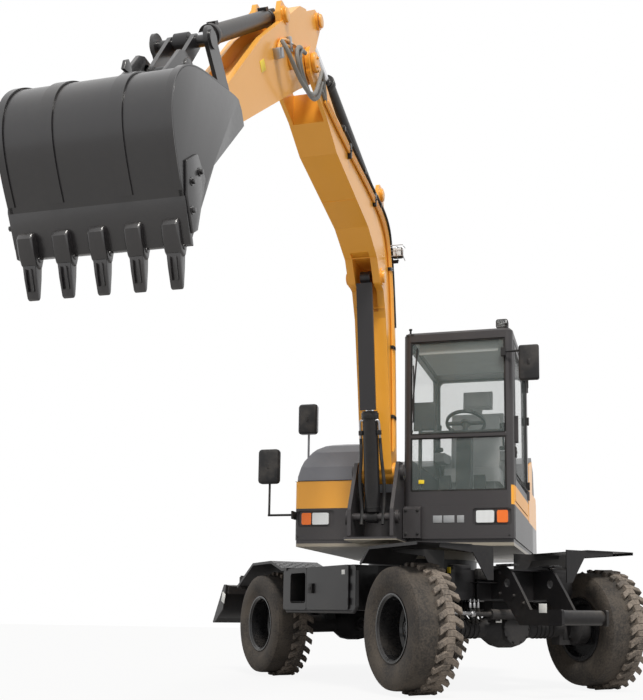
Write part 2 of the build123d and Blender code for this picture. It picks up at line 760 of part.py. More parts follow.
# Lower panels: two fronts with recesses for the lamps, and the two sides
panelBase = upperBottom + deckPlate
panelHeight = seamZ - panelBase - runGap
lampZ = 1468.0
lampHigh = 146.0
rightPanel = (upperRight, boomX - bracketIn - 25)
leftPanel = (cabRight + 20, upperLeft)
with BuildPart() as walls:
    for low, high, corner, lampX, lampWide in (
        (rightPanel[0], rightPanel[1], 1, -750, 330),
        (leftPanel[0], leftPanel[1], -1, 796, 322),
    ):
        with BuildSketch(level(upperBase, panelBase)):
            with Locations(((low + high) / 2, upperFront + 40)):
                RectangleRounded(high - low, 80, 38)
        extrude(amount=panelHeight)
        with BuildSketch(level(upperBase, panelBase - 1)):
            with Locations(((low + high) / 2, upperFront + 75)):
                Rectangle(high - low - 60, 70)
        extrude(amount=panelHeight + 2, mode=Mode.SUBTRACT)
        with BuildSketch(across(upperBase, upperFront + 16)):
            with Locations((lampX, lampZ)):
                RectangleRounded(lampWide, lampHigh, 22)
        extrude(amount=40, mode=Mode.SUBTRACT)
    for side, x in ((-1, upperRight + 10), (1, upperLeft - 10)):
        with BuildSketch(level(upperBase, panelBase)):
            with Locations((x, (upperFront + 80.4 + tailFront) / 2)):
                Rectangle(20, tailFront - upperFront - 81)
        extrude(amount=panelHeight)
    coverFoot = panelBase + 0.4
    coverOutline = (
        (upperFront - 100, coverFoot),
        (upperFront - 100, seamZ - 30),
        (upperFront - 60, seamZ - 4),
        (upperFront + 20, seamZ - 4),
        (upperFront + 20, coverFoot),
    )
    slab(upperBase, cabRight + 92, 150, coverOutline)
save(walls, "lower_walls")

# Headlamps: a lens block and an indicator in each recess, and the work lamps
with BuildPart() as lamps:
    for lampX, clearX, amberX in ((-750, -712, -838), (796, 738, 884)):
        for x, width in ((clearX, 152), (amberX, 92)):
            with BuildSketch(across(upperBase, upperFront + 15.7)):
                with Locations((x, lampZ)):
                    RectangleRounded(width, 104, 14)
            extrude(amount=22)
    with BuildSketch(level(upperBase, roofTop)):
        with Locations((890, upperFront + 90)):
            Circle(18)
    extrude(amount=14)
    with BuildSketch(across(upperBase, upperFront + 130)):
        with Locations((890, roofTop + 52)):
            RectangleRounded(104, 80, 20)
    extrude(amount=70)
save(lamps, "headlamps")

# Engine block, only its size and place
with BuildPart() as engine:
    with BuildSketch(level(upperBase, upperBottom + deckPlate + runGap)):
        with Locations((180, 785)):
            Rectangle(760, 390)
    extrude(amount=620)
save(engine, "engine_block")

# Fixed body panels above the seam: right band, left rear side and the sill under the cab door
bandIn = boomX - bracketIn - 40
with BuildPart() as bodyPanels:
    with BuildSketch(level(upperBase, seamZ)):
        with Locations(((upperRight + bandIn) / 2, (upperFront + hoodRear) / 2)):
            RectangleRounded(bandIn - upperRight, hoodRear - upperFront, 38)
            Rectangle(bandIn - upperRight - 36, hoodRear - upperFront - 36, mode=Mode.SUBTRACT)
    extrude(amount=bandTop - seamZ - runGap)
    for x, front in ((upperLeft - 9, cabRear + 12), (upperRight + 9, hoodRear + 4)):
        sideOutline = (
            (front, seamZ),
            (front, hoodTop - 60),
            (760, hoodTop + 10),
            (tailFront - 2, hoodTop + 60),
            (tailFront - 2, seamZ),
        )
        slab(upperBase, x, 18, sideOutline)
save(bodyPanels, "body_panels")


def bonnet(low, high, front, rear, bottom, top, curve, nose):
    # a closed form, rounded over its outer side (low x) and over its front
    with BuildPart(mode=Mode.PRIVATE) as form:
        with BuildSketch(across(upperBase, rear)) as face:
            Polygon(
                (low, bottom),
                (low + 4, bottom + (top - bottom) * 0.12),
                (low + curve * 0.20, bottom + (top - bottom) * 0.50),
                (low + curve * 0.55, bottom + (top - bottom) * 0.82),
                (low + curve, bottom + (top - bottom) * 0.98),
                (low + curve * 1.5, top),
                (high, top - 6),
                (high, bottom),
                align=None,
            )
        extrude(face.sketch, amount=rear - front)
        with BuildSketch(lengthwise(upperBase, low - 10)) as flank:
            Polygon(
                (front, bottom),
                (front + 4, bottom + (top - bottom) * 0.34),
                (front + nose * 0.28, bottom + (top - bottom) * 0.72),
                (front + nose * 0.62, bottom + (top - bottom) * 0.92),
                (front + nose, top + 2),
                (rear, top + 2),
                (rear, bottom),
                align=None,
            )
        extrude(flank.sketch, amount=high - low + 20, mode=Mode.INTERSECT)
    return form.part


# Hood over the right side, hinged at its rear, and the engine hood behind
hoodWall = 12
hoodMirrorX = -890.0
hoodMirrorY = -907.0
hoodMirrorZ = 2400.0
hingeZ = hoodTop - 18
with BuildPart() as hood:
    add(bonnet(upperRight + 18, bandIn, upperFront + 8, hoodRear - 8, bandTop, hoodTop, 250, 300))
    add(
        bonnet(
            upperRight + 18 + hoodWall,
            bandIn - hoodWall,
            upperFront + 8 + hoodWall,
            hoodRear - 8 - hoodWall,
            bandTop - 1,
            hoodTop - hoodWall,
            250,
            300,
        ),
        mode=Mode.SUBTRACT,
    )
    for x in (upperRight + 330, bandIn - 120):
        with BuildSketch(lengthwise(upperBase, x)):
            with Locations((hoodRear, hingeZ)):
                Circle(9)
            with Locations((hoodRear - 10, hingeZ)):
                Rectangle(20, 10)
        extrude(amount=70)
    with BuildSketch(across(upperBase, hoodMirrorY)):
        with Locations((hoodMirrorX, hoodMirrorZ)):
            RectangleRounded(180, 280, 34)
    extrude(amount=34)
    with BuildSketch(level(upperBase, hoodTop - 190)):
        with Locations((hoodMirrorX, hoodMirrorY + 2)):
            Circle(10)
    extrude(amount=hoodMirrorZ - hoodTop + 320)
save(hood, "hood")
with BuildPart() as rearHood:
    rearMid = (upperLeft + upperRight) / 2
    rearWide = upperLeft - upperRight - 37
    rearTop = hoodTop - 20
    frontY = hoodRear + 22
    for wall, mode in ((0, Mode.ADD), (hoodWall, Mode.SUBTRACT)):
        outline = (
            (frontY + wall, seamZ - wall),
            (frontY + wall, rearTop - wall),
            (760, rearTop + 70 - wall),
            (tailFront + 140, rearTop + 150 - wall),
            (tailFront + 400 - wall, rearTop + 30 - wall),
            (tailFront + 500 - wall, weightTop + 60),
            (tailFront + 500 - wall, weightTop + 1 - wall * 0.05),
            (tailFront - 1 - wall, weightTop + 1 - wall * 0.05),
            (tailFront - 1 - wall, seamZ - wall),
        )
        slab(upperBase, rearMid, rearWide - 2 * wall, outline, mode=mode)
save(rearHood, "rear_hood")

# Cab shell: rounded posts and roof, split front window, rear and right windows, doorway
cabMidX = (upperLeft + cabRight) / 2
cabMidY = (upperFront + cabRear) / 2
cabWidth = upperLeft - cabRight
cabLength = cabRear - upperFront
cabFloor = 60.0
roofThickness = 70.0
postWidth = 62.0
barHalf = 13.0
with BuildPart() as cab:
    with BuildSketch(level(upperBase, seamZ)):
        with Locations((cabMidX, cabMidY)):
            RectangleRounded(cabWidth, cabLength, 55)
    extrude(amount=roofTop - seamZ)
    chamfer(cab.faces().sort_by(Axis.Z)[-1].edges(), 22)
    with BuildSketch(level(upperBase, seamZ + cabFloor)):
        with Locations((cabMidX, cabMidY)):
            Rectangle(cabWidth - 2 * cabWall, cabLength - 2 * cabWall)
    extrude(amount=roofTop - seamZ - cabFloor - roofThickness, mode=Mode.SUBTRACT)
    frontWidth = cabWidth - 2 * postWidth
    with BuildSketch(across(upperBase, upperFront + cabWall + 5)):
        with Locations((cabMidX, (sillZ + barZ - barHalf) / 2)):
            Rectangle(frontWidth, barZ - barHalf - sillZ)
        with Locations((cabMidX, (barZ + barHalf + windowTop) / 2)):
            Rectangle(frontWidth, windowTop - barZ - barHalf)
    extrude(amount=cabWall + 10, mode=Mode.SUBTRACT)
    with BuildSketch(across(upperBase, cabRear + 5)):
        with Locations((cabMidX, (sillZ + 300 + windowTop) / 2)):
            RectangleRounded(frontWidth, windowTop - sillZ - 300, 50)
    extrude(amount=cabWall + 10, mode=Mode.SUBTRACT)
    with BuildSketch(lengthwise(upperBase, cabRight - 5)):
        with Locations((cabMidY, (sillZ + 300 + windowTop) / 2)):
            RectangleRounded(cabLength - 2 * postWidth - 40, windowTop - sillZ - 300, 50)
    extrude(amount=cabWall + 10, mode=Mode.SUBTRACT)
    with BuildSketch(lengthwise(upperBase, upperLeft - cabWall - 5)):
        with Locations(((doorFrontY + doorRearY) / 2, (doorBottom + windowTop) / 2)):
            Rectangle(doorRearY - doorFrontY, windowTop - doorBottom)
    extrude(amount=cabWall + 10, mode=Mode.SUBTRACT)
save(cab, "cab")

# Glass in the front, rear and right windows, each pane let into its opening
paneGap = 0.3
with BuildPart() as cabGlass:
    with BuildSketch(across(upperBase, upperFront + 20)):
        with Locations((cabMidX, (sillZ + barZ - barHalf) / 2)):
            Rectangle(frontWidth - 2 * paneGap, barZ - barHalf - sillZ - 2 * paneGap)
        with Locations((cabMidX, (barZ + barHalf + windowTop) / 2)):
            Rectangle(frontWidth - 2 * paneGap, windowTop - barZ - barHalf - 2 * paneGap)
    extrude(amount=glassWall)
    with BuildSketch(across(upperBase, cabRear - 14)):
        with Locations((cabMidX, (sillZ + 300 + windowTop) / 2)):
            RectangleRounded(frontWidth - 2 * paneGap, windowTop - sillZ - 300 - 2 * paneGap, 51)
    extrude(amount=glassWall)
    with BuildSketch(lengthwise(upperBase, cabRight + 14)):
        with Locations((cabMidY, (sillZ + 300 + windowTop) / 2)):
            RectangleRounded(
                cabLength - 2 * postWidth - 40 - 2 * paneGap, windowTop - sillZ - 300 - 2 * paneGap, 51
            )
    extrude(amount=glassWall)
save(cabGlass, "cab_glass")

# Cab door with its hinge barrels at the rear edge
doorGap = 6.0
doorThickness = 34.0
doorRail = 62.0
doorPanelTop = 1800.0
doorMidY = (doorFrontY + doorRearY) / 2
doorHigh = windowTop - doorBottom - 2 * doorGap
doorLong = doorRearY - doorFrontY - 2 * doorGap
doorHingeX = upperLeft + 11 + runGap
doorHingeY = doorRearY + 10
with BuildPart() as cabDoor:
    with BuildSketch(lengthwise(upperBase, upperLeft + 4 - doorThickness)):
        with Locations((doorMidY, doorBottom + doorGap + doorHigh / 2)):
            Rectangle(doorLong, doorHigh)
        with Locations((doorMidY, (doorPanelTop + windowTop - doorGap - doorRail) / 2)):
            doorPaneHigh = windowTop - doorGap - doorRail - doorPanelTop
            RectangleRounded(doorLong - 2 * doorRail, doorPaneHigh, 40, mode=Mode.SUBTRACT)
    extrude(amount=doorThickness)
    with BuildSketch(lengthwise(upperBase, upperLeft + 4)):
        with Locations((doorFrontY + 46, 2230)):
            RectangleRounded(34, 240, 15)
    extrude(amount=26)
    for z in (1760, 2840):
        with BuildSketch(level(upperBase, z)):
            with Locations((doorHingeX, doorHingeY)):
                Circle(11)
            with Locations((upperLeft + 8, doorRearY - 20)):
                Rectangle(8, 50)
        extrude(amount=90)
save(cabDoor, "cab_door")
with BuildPart() as doorGlass:
    with BuildSketch(lengthwise(upperBase, upperLeft - 14)):
        with Locations((doorMidY, (doorPanelTop + windowTop - doorGap - doorRail) / 2)):
            RectangleRounded(
                doorLong - 2 * doorRail - 2 * paneGap,
                windowTop - doorGap - doorRail - doorPanelTop - 2 * paneGap,
                41,
            )
    extrude(amount=glassWall)
save(doorGlass, "door_glass")

# Seat on its base, with backrest, headrest and armrests
seatX = cabMidX + 20
seatY = -150.0
floorZ = seamZ + cabFloor
with BuildPart() as seat:
    with BuildSketch(level(upperBase, floorZ + 0.3)):
        with Locations((seatX, seatY)):
            Rectangle(420, 420)
    extrude(amount=250)
    with BuildSketch(level(upperBase, floorZ + 240)):
        with Locations((seatX, seatY)):
            RectangleRounded(520, 500, 60)
    extrude(amount=130)
    backFoot = (seatY + 160, floorZ + 340)
    backOutline = (backFoot, (seatY + 270, floorZ + 340), (seatY + 350, floorZ + 980), (seatY + 250, floorZ + 980))
    slab(upperBase, seatX, 500, backOutline, 30)
    neckOutline = (
        (seatY + 270, floorZ + 960),
        (seatY + 320, floorZ + 960),
        (seatY + 335, floorZ + 1060),
        (seatY + 285, floorZ + 1060),
    )
    slab(upperBase, seatX, 80, neckOutline)
    headrestOutline = (
        (seatY + 255, floorZ + 1030),
        (seatY + 345, floorZ + 1030),
        (seatY + 370, floorZ + 1210),
        (seatY + 285, floorZ + 1210),
    )
    slab(upperBase, seatX, 280, headrestOutline, 24)
    for side in (-1, 1):
        restOutline = (
            (seatY - 190, floorZ + 440),
            (seatY + 230, floorZ + 470),
            (seatY + 230, floorZ + 560),
            (seatY - 190, floorZ + 530),
        )
        slab(upperBase, seatX + side * 305, 90, restOutline, 20)
        strutOutline = (
            (seatY + 120, floorZ + 300),
            (seatY + 230, floorZ + 300),
            (seatY + 230, floorZ + 480),
            (seatY + 120, floorZ + 470),
        )
        slab(upperBase, seatX + side * 268, 60, strutOutline)
save(seat, "seat")

# Steering column with its wheel, the monitor post and the pedals
with BuildPart() as console:
    slab(
        upperBase,
        seatX,
        130,
        (
            (-960, floorZ + 0.3),
            (-800, floorZ + 0.3),
            (-720, floorZ + 560),
            (-760, floorZ + 650),
            (-850, floorZ + 640),
        ),
        20,
    )
    wheelPlane = Plane(upperBase * Location((seatX, -747, floorZ + 715), (-28, 0, 0)))
    with BuildSketch(wheelPlane):
        Circle(180)
        Circle(156, mode=Mode.SUBTRACT)
        Rectangle(320, 30)
        Circle(46)
    extrude(amount=22)
    with BuildSketch(wheelPlane):
        Circle(24)
    extrude(amount=-110)
    standOutline = ((-960, floorZ + 0.3), (-910, floorZ + 0.3), (-890, floorZ + 700), (-930, floorZ + 700))
    screenOutline = ((-925, floorZ + 640), (-875, floorZ + 640), (-850, floorZ + 900), (-900, floorZ + 900))
    slab(upperBase, cabRight + 115, 26, standOutline)
    slab(upperBase, cabRight + 150, 190, screenOutline, 14)
    for side in (-1, 1):
        pedalOutline = ((-990, floorZ + 0.3), (-900, floorZ + 0.3), (-960, floorZ + 210), (-990, floorZ + 220))
        slab(upperBase, seatX + side * 150, 100, pedalOutline)
save(console, "console")

# Mirrors on their stalks
mirrorRows = (
    # x, z and y of the glass, width, height
    (1126, 2765, upperFront - 42, 156, 290),
    (-1175, 1935, upperFront - 48, 196, 310),
)
stalkRows = (
    # x from, x to, y, z: level arms
    (upperLeft - 76, 1136, upperFront - 40, 2880),
    (-1185, upperRight - 2, upperFront - 46, 1500),
)
postRows = (
    # x, y, z from, z to
    (1126, upperFront - 40, 2620, 2910),
    (-1175, upperFront - 46, 1500, 2080),
)
footRows = (
    # x, y and z of the plates that bolt to the sides, length, height
    (upperRight - 14.4, upperFront - 2, 1500, 118, 70),
)
with BuildPart() as mirrors:
    for x, z, y, width, height in mirrorRows:
        with BuildSketch(across(upperBase, y)):
            with Locations((x, z)):
                RectangleRounded(width, height, 34)
        extrude(amount=34)
    for low, high, y, z in stalkRows:
        with BuildSketch(lengthwise(upperBase, low)):
            with Locations((y, z)):
                Circle(10)
        extrude(amount=high - low)
    for x, y, low, high in postRows:
        with BuildSketch(level(upperBase, low)):
            with Locations((x, y)):
                Circle(10)
        extrude(amount=high - low)
    for x, y, z, length, height in footRows:
        with BuildSketch(lengthwise(upperBase, x)):
            with Locations((y, z)):
                Rectangle(length, height)
        extrude(amount=14)
    with BuildSketch(across(upperBase, upperFront - 0.3)):
        with Locations((upperLeft - 76, 2880)):
            Rectangle(40, 70)
    extrude(amount=50)
save(mirrors, "mirrors")

# Boom: a box section with its foot, the slot for the lifting cylinder and the ears on top
noseSlot = armHalf + 8
boomCylSlot = 150.0
earX = 80.0
earWall = 30.0
with BuildPart() as boom:
    boomOutline = (
        (boomFoot[0] + 110, boomFoot[1] - 30),
        (-1180, 2500),
        (-1250, 3360),
        (-1470, 3850),
        (-1640, 3960),
        (-3240, 4060),
        (armPivot[0] + 40, armPivot[1] + 105),
        (armPivot[0] - 100, armPivot[1] + 40),
        (armPivot[0] - 60, armPivot[1] - 100),
        (-3460, 3925),
        (-3200, 3800),
        (-2270, 3640),
        (-1950, 3500),
        (-1830, 3330),
        (-1712, 3310),
        (-1610, 3100),
        (-1480, 2500),
        (boomFoot[0] - 110, boomFoot[1] + 10),
        (boomFoot[0], boomFoot[1] - 108),
    )
    slab(upperBase, boomX, 2 * boomHalf, boomOutline, 28)
    pin(upperBase, boomX, 2 * (plateX - plateWall / 2) - 10, boomFoot, 84)
    pin(upperBase, boomX, 2 * boomHalf, armPivot, 100)
    pin(upperBase, boomX, 2 * boomHalf + 20, boomCylEye, 70)
    noseCut = (
        (armPivot[0] - 470, armPivot[1] - 290),
        (armPivot[0] + 350, armPivot[1] - 290),
        (armPivot[0] + 350, armPivot[1] + 270),
        (armPivot[0] - 470, armPivot[1] + 270),
    )
    slab(upperBase, boomX, 2 * noseSlot, noseCut, mode=Mode.SUBTRACT)
    slotCut = (
        (boomCylEye[0] - 290, boomCylEye[1] - 250),
        (boomCylEye[0] + 170, boomCylEye[1] - 250),
        (boomCylEye[0] + 170, boomCylEye[1] + 130),
        (boomCylEye[0] - 290, boomCylEye[1] + 130),
    )
    slab(upperBase, boomX, boomCylSlot, slotCut, mode=Mode.SUBTRACT)
    pin(upperBase, boomX, 2 * boomHalf + 24, armPivot, pinRadius)
    earOutline = (
        (-1450, 3800),
        (armCylFoot[0] + 60, armCylFoot[1] + 70),
        (armCylFoot[0] - 80, armCylFoot[1] + 70),
        (-1860, 3900),
        (-1650, 3860),
    )
    for side in (-1, 1):
        slab(upperBase, boomX + side * earX, earWall, earOutline, 40)
        pin(upperBase, boomX + side * (earX + 8), earWall + 16, armCylFoot, 56)
    pin(upperBase, boomX, 2 * earX, armCylFoot, 30)
    pin(upperBase, boomX, 2 * (plateX - plateWall / 2), boomFoot, 38 + runGap, Mode.SUBTRACT)
save(boom, "boom")

# Arm with its slot for the bucket cylinder and the ears at both ends
armSlot = 124.0
armEndHalf = 80.0
with BuildPart() as arm:
    armOutline = (
        (armPivot[0] + 110, armPivot[1] - 10),
        (-3730, 4390),
        (-3850, 4470),
        (-3980, 4410),
        (-4640, 3800),
        (-5140, 3230),
        (bucketPivot[0] - 42, bucketPivot[1] + 42),
        (bucketPivot[0] - 46, bucketPivot[1] - 40),
        (bucketPivot[0] + 50, bucketPivot[1] - 58),
        (-4865, 3190),
        (-3985, 3845),
        (armPivot[0] + 50, armPivot[1] - 115),
    )
    slab(upperBase, boomX, 2 * armHalf, armOutline, 24)
    pin(upperBase, boomX, 2 * armHalf, bucketPivot, 60)
    pin(upperBase, boomX, 2 * armHalf + 8, armPivot, 80)
    slotOutline = (
        (-4190, 4330),
        (-4130, 4170),
        (-4480, 3866),
        (-4700, 3620),
        (-5010, 3338),
        (-5090, 3420),
        (-4900, 3800),
        (-4500, 4330),
    )
    slab(upperBase, boomX, armSlot, slotOutline, mode=Mode.SUBTRACT)
    endCut = (
        (bucketPivot[0] - 190, bucketPivot[1] - 165),
        (bucketPivot[0] + 180, bucketPivot[1] - 165),
        (bucketPivot[0] + 180, bucketPivot[1] + 165),
        (bucketPivot[0] - 190, bucketPivot[1] + 165),
    )
    for side in (-1, 1):
        slab(upperBase, boomX + side * (armEndHalf + 30), 60, endCut, mode=Mode.SUBTRACT)
    crowdEar = (
        (-3700, 4180),
        (armCylEye[0] + 62, armCylEye[1] - 30),
        (armCylEye[0] + 40, armCylEye[1] + 62),
        (armCylEye[0] - 60, armCylEye[1] + 50),
        (-3900, 4420),
        (-3880, 4200),
    )
    curlEar = (
        (-4000, 4300),
        (bucketCylFoot[0] + 60, bucketCylFoot[1] + 76),
        (bucketCylFoot[0] - 50, bucketCylFoot[1] + 72),
        (bucketCylFoot[0] - 76, bucketCylFoot[1] - 20),
        (-4290, 4010),
        (-4060, 4060),
    )
    for side in (-1, 1):
        slab(upperBase, boomX + side * (earX + 5), earWall, crowdEar, 24)
        pin(upperBase, boomX + side * (earX + 12), earWall + 14, armCylEye, 54)
        slab(upperBase, boomX + side * (armSlot / 2 + earWall / 2), earWall, curlEar, 24)
        pin(upperBase, boomX + side * (armSlot / 2 + 22), earWall + 14, bucketCylFoot, 52)
    pin(upperBase, boomX, armSlot + 10, bucketCylFoot, 28)
    pin(upperBase, boomX, 2 * rockerOut + 10, rockerPivot, 26)
    pin(upperBase, boomX, 2 * rockerOut - 2 * rockerWall - 12, rockerPivot, 50)
    pin(upperBase, boomX, 2 * armHalf + 10, bucketPivot, pinRadius + runGap, Mode.SUBTRACT)
    pin(upperBase, boomX, 2 * armHalf + 10, armPivot, pinRadius + runGap, Mode.SUBTRACT)
save(arm, "arm")


def bar(x, thickness, ends, radius, hole):
    # a flat link with round ends, and a hole at its first end
    run = (ends[1][0] - ends[0][0], ends[1][1] - ends[0][1])
    length = hypot(run[0], run[1])
    over = (-run[1] / length * radius, run[0] / length * radius)
    with BuildSketch(lengthwise(upperBase, x - thickness / 2)) as plate:
        for end in ends:
            with Locations(end):
                Circle(radius)
        Polygon(
            (ends[0][0] + over[0], ends[0][1] + over[1]),
            (ends[1][0] + over[0], ends[1][1] + over[1]),
            (ends[1][0] - over[0], ends[1][1] - over[1]),
            (ends[0][0] - over[0], ends[0][1] - over[1]),
            align=None,
        )
        with Locations(ends[0]):
            Circle(hole, mode=Mode.SUBTRACT)
    extrude(plate.sketch, amount=thickness)


# Rocker plates from the arm to the rod eye, and the link from there to the bucket
with BuildPart() as rocker:
    for side in (-1, 1):
        bar(boomX + side * (rockerOut - rockerWall / 2), rockerWall, (rockerPivot, rodEye), 62, 26 + runGap)
        pin(upperBase, boomX + side * (rockerOut + 46) / 2, rockerOut - 26, rodEye, 27)
        pin(upperBase, boomX + side * (rockerOut + 4), 12, rodEye, 44)
save(rocker, "rocker")
with BuildPart() as link:
    for side in (-1, 1):
        bar(boomX + side * 61, 22, (rodEye, linkEye), 36, 27 + runGap)
    pin(upperBase, boomX, 164, linkEye, 26)
save(link, "bucket_link")

# Bucket: curved shell, lip, side cutters, ears and two-part teeth
bucketOutline = (
    (-6085, 2028),
    (-6215, 2320),
    (-6298, 2590),
    (-6200, 2735),
    (-5840, 2812),
    (-5690, 2852),
    (-5560, 2790),
    (-5886, 2440),
    (-5950, 2310),
)
bucketMouth = (
    (-6072, 1990),
    (-6082, 2090),
    (-5966, 2400),
    (-5700, 2800),
    (-5600, 2790),
    (-5400, 2700),
    (-5700, 1990),
)
toothPitch = 155.0
with BuildPart() as bucket:
    slab(upperBase, boomX, bucketWidth, bucketOutline, 45)
    with BuildSketch(lengthwise(upperBase, boomX - bucketWidth / 2 + bucketWall)) as inside:
        Polygon(*bucketOutline, align=None)
        fillet(inside.vertices(), 45)
        offset(amount=-bucketWall, kind=Kind.INTERSECTION)
        Polygon(*bucketMouth, align=None)
    extrude(inside.sketch, amount=bucketWidth - 2 * bucketWall, mode=Mode.SUBTRACT)
    lipOutline = ((-6064, 2024), (-6096, 2024), (-6166, 2190), (-6136, 2200))
    slab(upperBase, boomX, bucketWidth, lipOutline)
    cutterOutline = ((-6052, 2090), (-6100, 2060), (-6166, 2196), (-6180, 2330), (-6080, 2400), (-5990, 2330))
    earPlate = (
        (-5960, 2772),
        (-5690, 3110),
        (-5590, 3135),
        (-5340, 2985),
        (-5324, 2890),
        (-5420, 2850),
        (-5700, 2834),
    )
    for side in (-1, 1):
        slab(upperBase, boomX + side * (bucketWidth / 2 + 7), 14, cutterOutline, 16)
        slab(upperBase, boomX + side * 99, 22, earPlate, 20)
        pin(upperBase, boomX + side * 104, 32, bucketPivot, 56)
        pin(upperBase, boomX + side * 104, 32, linkEye, 46)
    pin(upperBase, boomX, 240, bucketPivot, pinRadius)
    for i in range(-2, 3):
        adapterOutline = (
            (-6050, 2110),
            (-6058, 2000),
            (-6086, 1960),
            (-6112, 2000),
            (-6172, 2150),
            (-6150, 2196),
        )
        slab(upperBase, boomX + i * toothPitch, 62, adapterOutline)
        tipOutline = ((-6052, 2012), (-6050, 1880), (-6060, 1862), (-6078, 1900), (-6112, 2004))
        slab(upperBase, boomX + i * toothPitch, 50, tipOutline)
save(bucket, "bucket")
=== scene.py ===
import bpy
import json
from math import atan2, cos, pi, radians, sin
from mathutils import Matrix, Vector


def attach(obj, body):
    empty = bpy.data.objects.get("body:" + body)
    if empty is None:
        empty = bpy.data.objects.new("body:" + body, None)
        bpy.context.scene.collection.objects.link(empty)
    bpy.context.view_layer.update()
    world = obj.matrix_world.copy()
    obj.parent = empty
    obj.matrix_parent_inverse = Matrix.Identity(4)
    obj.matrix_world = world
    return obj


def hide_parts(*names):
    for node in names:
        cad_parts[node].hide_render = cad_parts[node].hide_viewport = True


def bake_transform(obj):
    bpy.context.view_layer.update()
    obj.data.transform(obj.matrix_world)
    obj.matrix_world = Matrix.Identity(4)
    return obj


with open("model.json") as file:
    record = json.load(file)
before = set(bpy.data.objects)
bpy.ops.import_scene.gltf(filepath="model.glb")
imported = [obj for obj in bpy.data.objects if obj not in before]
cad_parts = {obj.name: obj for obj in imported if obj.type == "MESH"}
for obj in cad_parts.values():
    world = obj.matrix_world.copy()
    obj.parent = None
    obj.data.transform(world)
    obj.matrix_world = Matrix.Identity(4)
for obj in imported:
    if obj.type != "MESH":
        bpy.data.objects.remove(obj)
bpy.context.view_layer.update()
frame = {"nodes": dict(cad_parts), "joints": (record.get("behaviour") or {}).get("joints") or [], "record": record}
nodes = frame["nodes"]
print("frame loaded,", len(nodes), "nodes")

# where the swing axis stands, and how far the undercarriage is turned
place = {"swingX": 0.301, "swingY": 1.804, "chassisTurn": 43.45}
upperAt = Matrix.Translation((place["swingX"], place["swingY"], 0))
chassisAt = upperAt @ Matrix.Rotation(radians(place["chassisTurn"]), 4, "Z")


# camera, materials, room and light

cameraSet = {
    "spot": (1.7187, -9.3859, 0.6469),
    "yaw": 15.221,
    "pitch": 7.997,
    "roll": 0.694,
    "lens": 50.463,
    "shiftX": -0.0265,
    "shiftY": 0.1785,
}


def setCamera():
    data = bpy.data.cameras.new("camera")
    data.lens = cameraSet["lens"]
    data.sensor_width = 36
    data.shift_x = cameraSet["shiftX"]
    data.shift_y = cameraSet["shiftY"]
    data.clip_end = 200
    cam = bpy.data.objects.new("camera", data)
    bpy.context.scene.collection.objects.link(cam)
    turn = Matrix.Rotation(radians(cameraSet["yaw"]), 4, "Z")
    turn = turn @ Matrix.Rotation(radians(90 + cameraSet["pitch"]), 4, "X")
    turn = turn @ Matrix.Rotation(radians(cameraSet["roll"]), 4, "Z")
    cam.matrix_world = upperAt @ Matrix.Translation(cameraSet["spot"]) @ turn
    bpy.context.scene.camera = cam


# a socket that takes + - * and a few named functions, and adds the nodes for them
class Wire:
    def __init__(self, tree, socket):
        self.tree = tree
        self.socket = socket

    def sum(self, kind, other=0.0, swap=False):
        node = self.tree.nodes.new("ShaderNodeMath")
        node.operation = kind
        for slot, value in zip(node.inputs, (other, self) if swap else (self, other)):
            if isinstance(value, Wire):
                self.tree.links.new(value.socket, slot)
            else:
                slot.default_value = value
        return Wire(self.tree, node.outputs[0])

    def __add__(self, other):
        return self.sum("ADD", other)

    def __radd__(self, other):
        return self.sum("ADD", other)

    def __sub__(self, other):
        return self.sum("SUBTRACT", other)

    def __rsub__(self, other):
        return self.sum("SUBTRACT", other, swap=True)

    def __mul__(self, other):
        return self.sum("MULTIPLY", other)

    def __rmul__(self, other):
        return self.sum("MULTIPLY", other)

    def above(self, level, soft=0.05):
        node = self.tree.nodes.new("ShaderNodeMapRange")
        node.interpolation_type = "SMOOTHSTEP"
        self.tree.links.new(self.socket, node.inputs["Value"])
        node.inputs["From Min"].default_value = level - soft
        node.inputs["From Max"].default_value = level + soft
        return Wire(self.tree, node.outputs["Result"])


# a node tree whose nodes come from a type, its settings, and the values or links of its sockets
class Tree:
    def __init__(self, tree):
        self.tree = tree
        self.tree.nodes.clear()

    def make(self, kind, settings=None, values=None, out=0):
        node = self.tree.nodes.new(kind)
        for key, value in (settings or {}).items():
            if key == "stops":
                for element, (at, tone) in zip(node.color_ramp.elements, value):
                    element.position = at
                    element.color = (*tone, 1)
            else:
                setattr(node, key, value)
        for key, value in (values or {}).items():
            if isinstance(value, Wire):
                self.tree.links.new(value.socket, node.inputs[key])
            else:
                node.inputs[key].default_value = value
        return Wire(self.tree, node.outputs[out])

    def rays(self, *kinds):
        # 1 on a ray of one of these kinds, else 0
        seen = self.make("ShaderNodeLightPath", out=kinds[0])
        for kind in kinds[1:]:
            seen = seen.sum("MAXIMUM", self.make("ShaderNodeLightPath", out=kind))
        return seen

    def close(self, kind, wire):
        out = self.tree.nodes.new(kind)
        self.tree.links.new(wire.socket, out.inputs["Surface"])


finishes = {}  # every material by its name


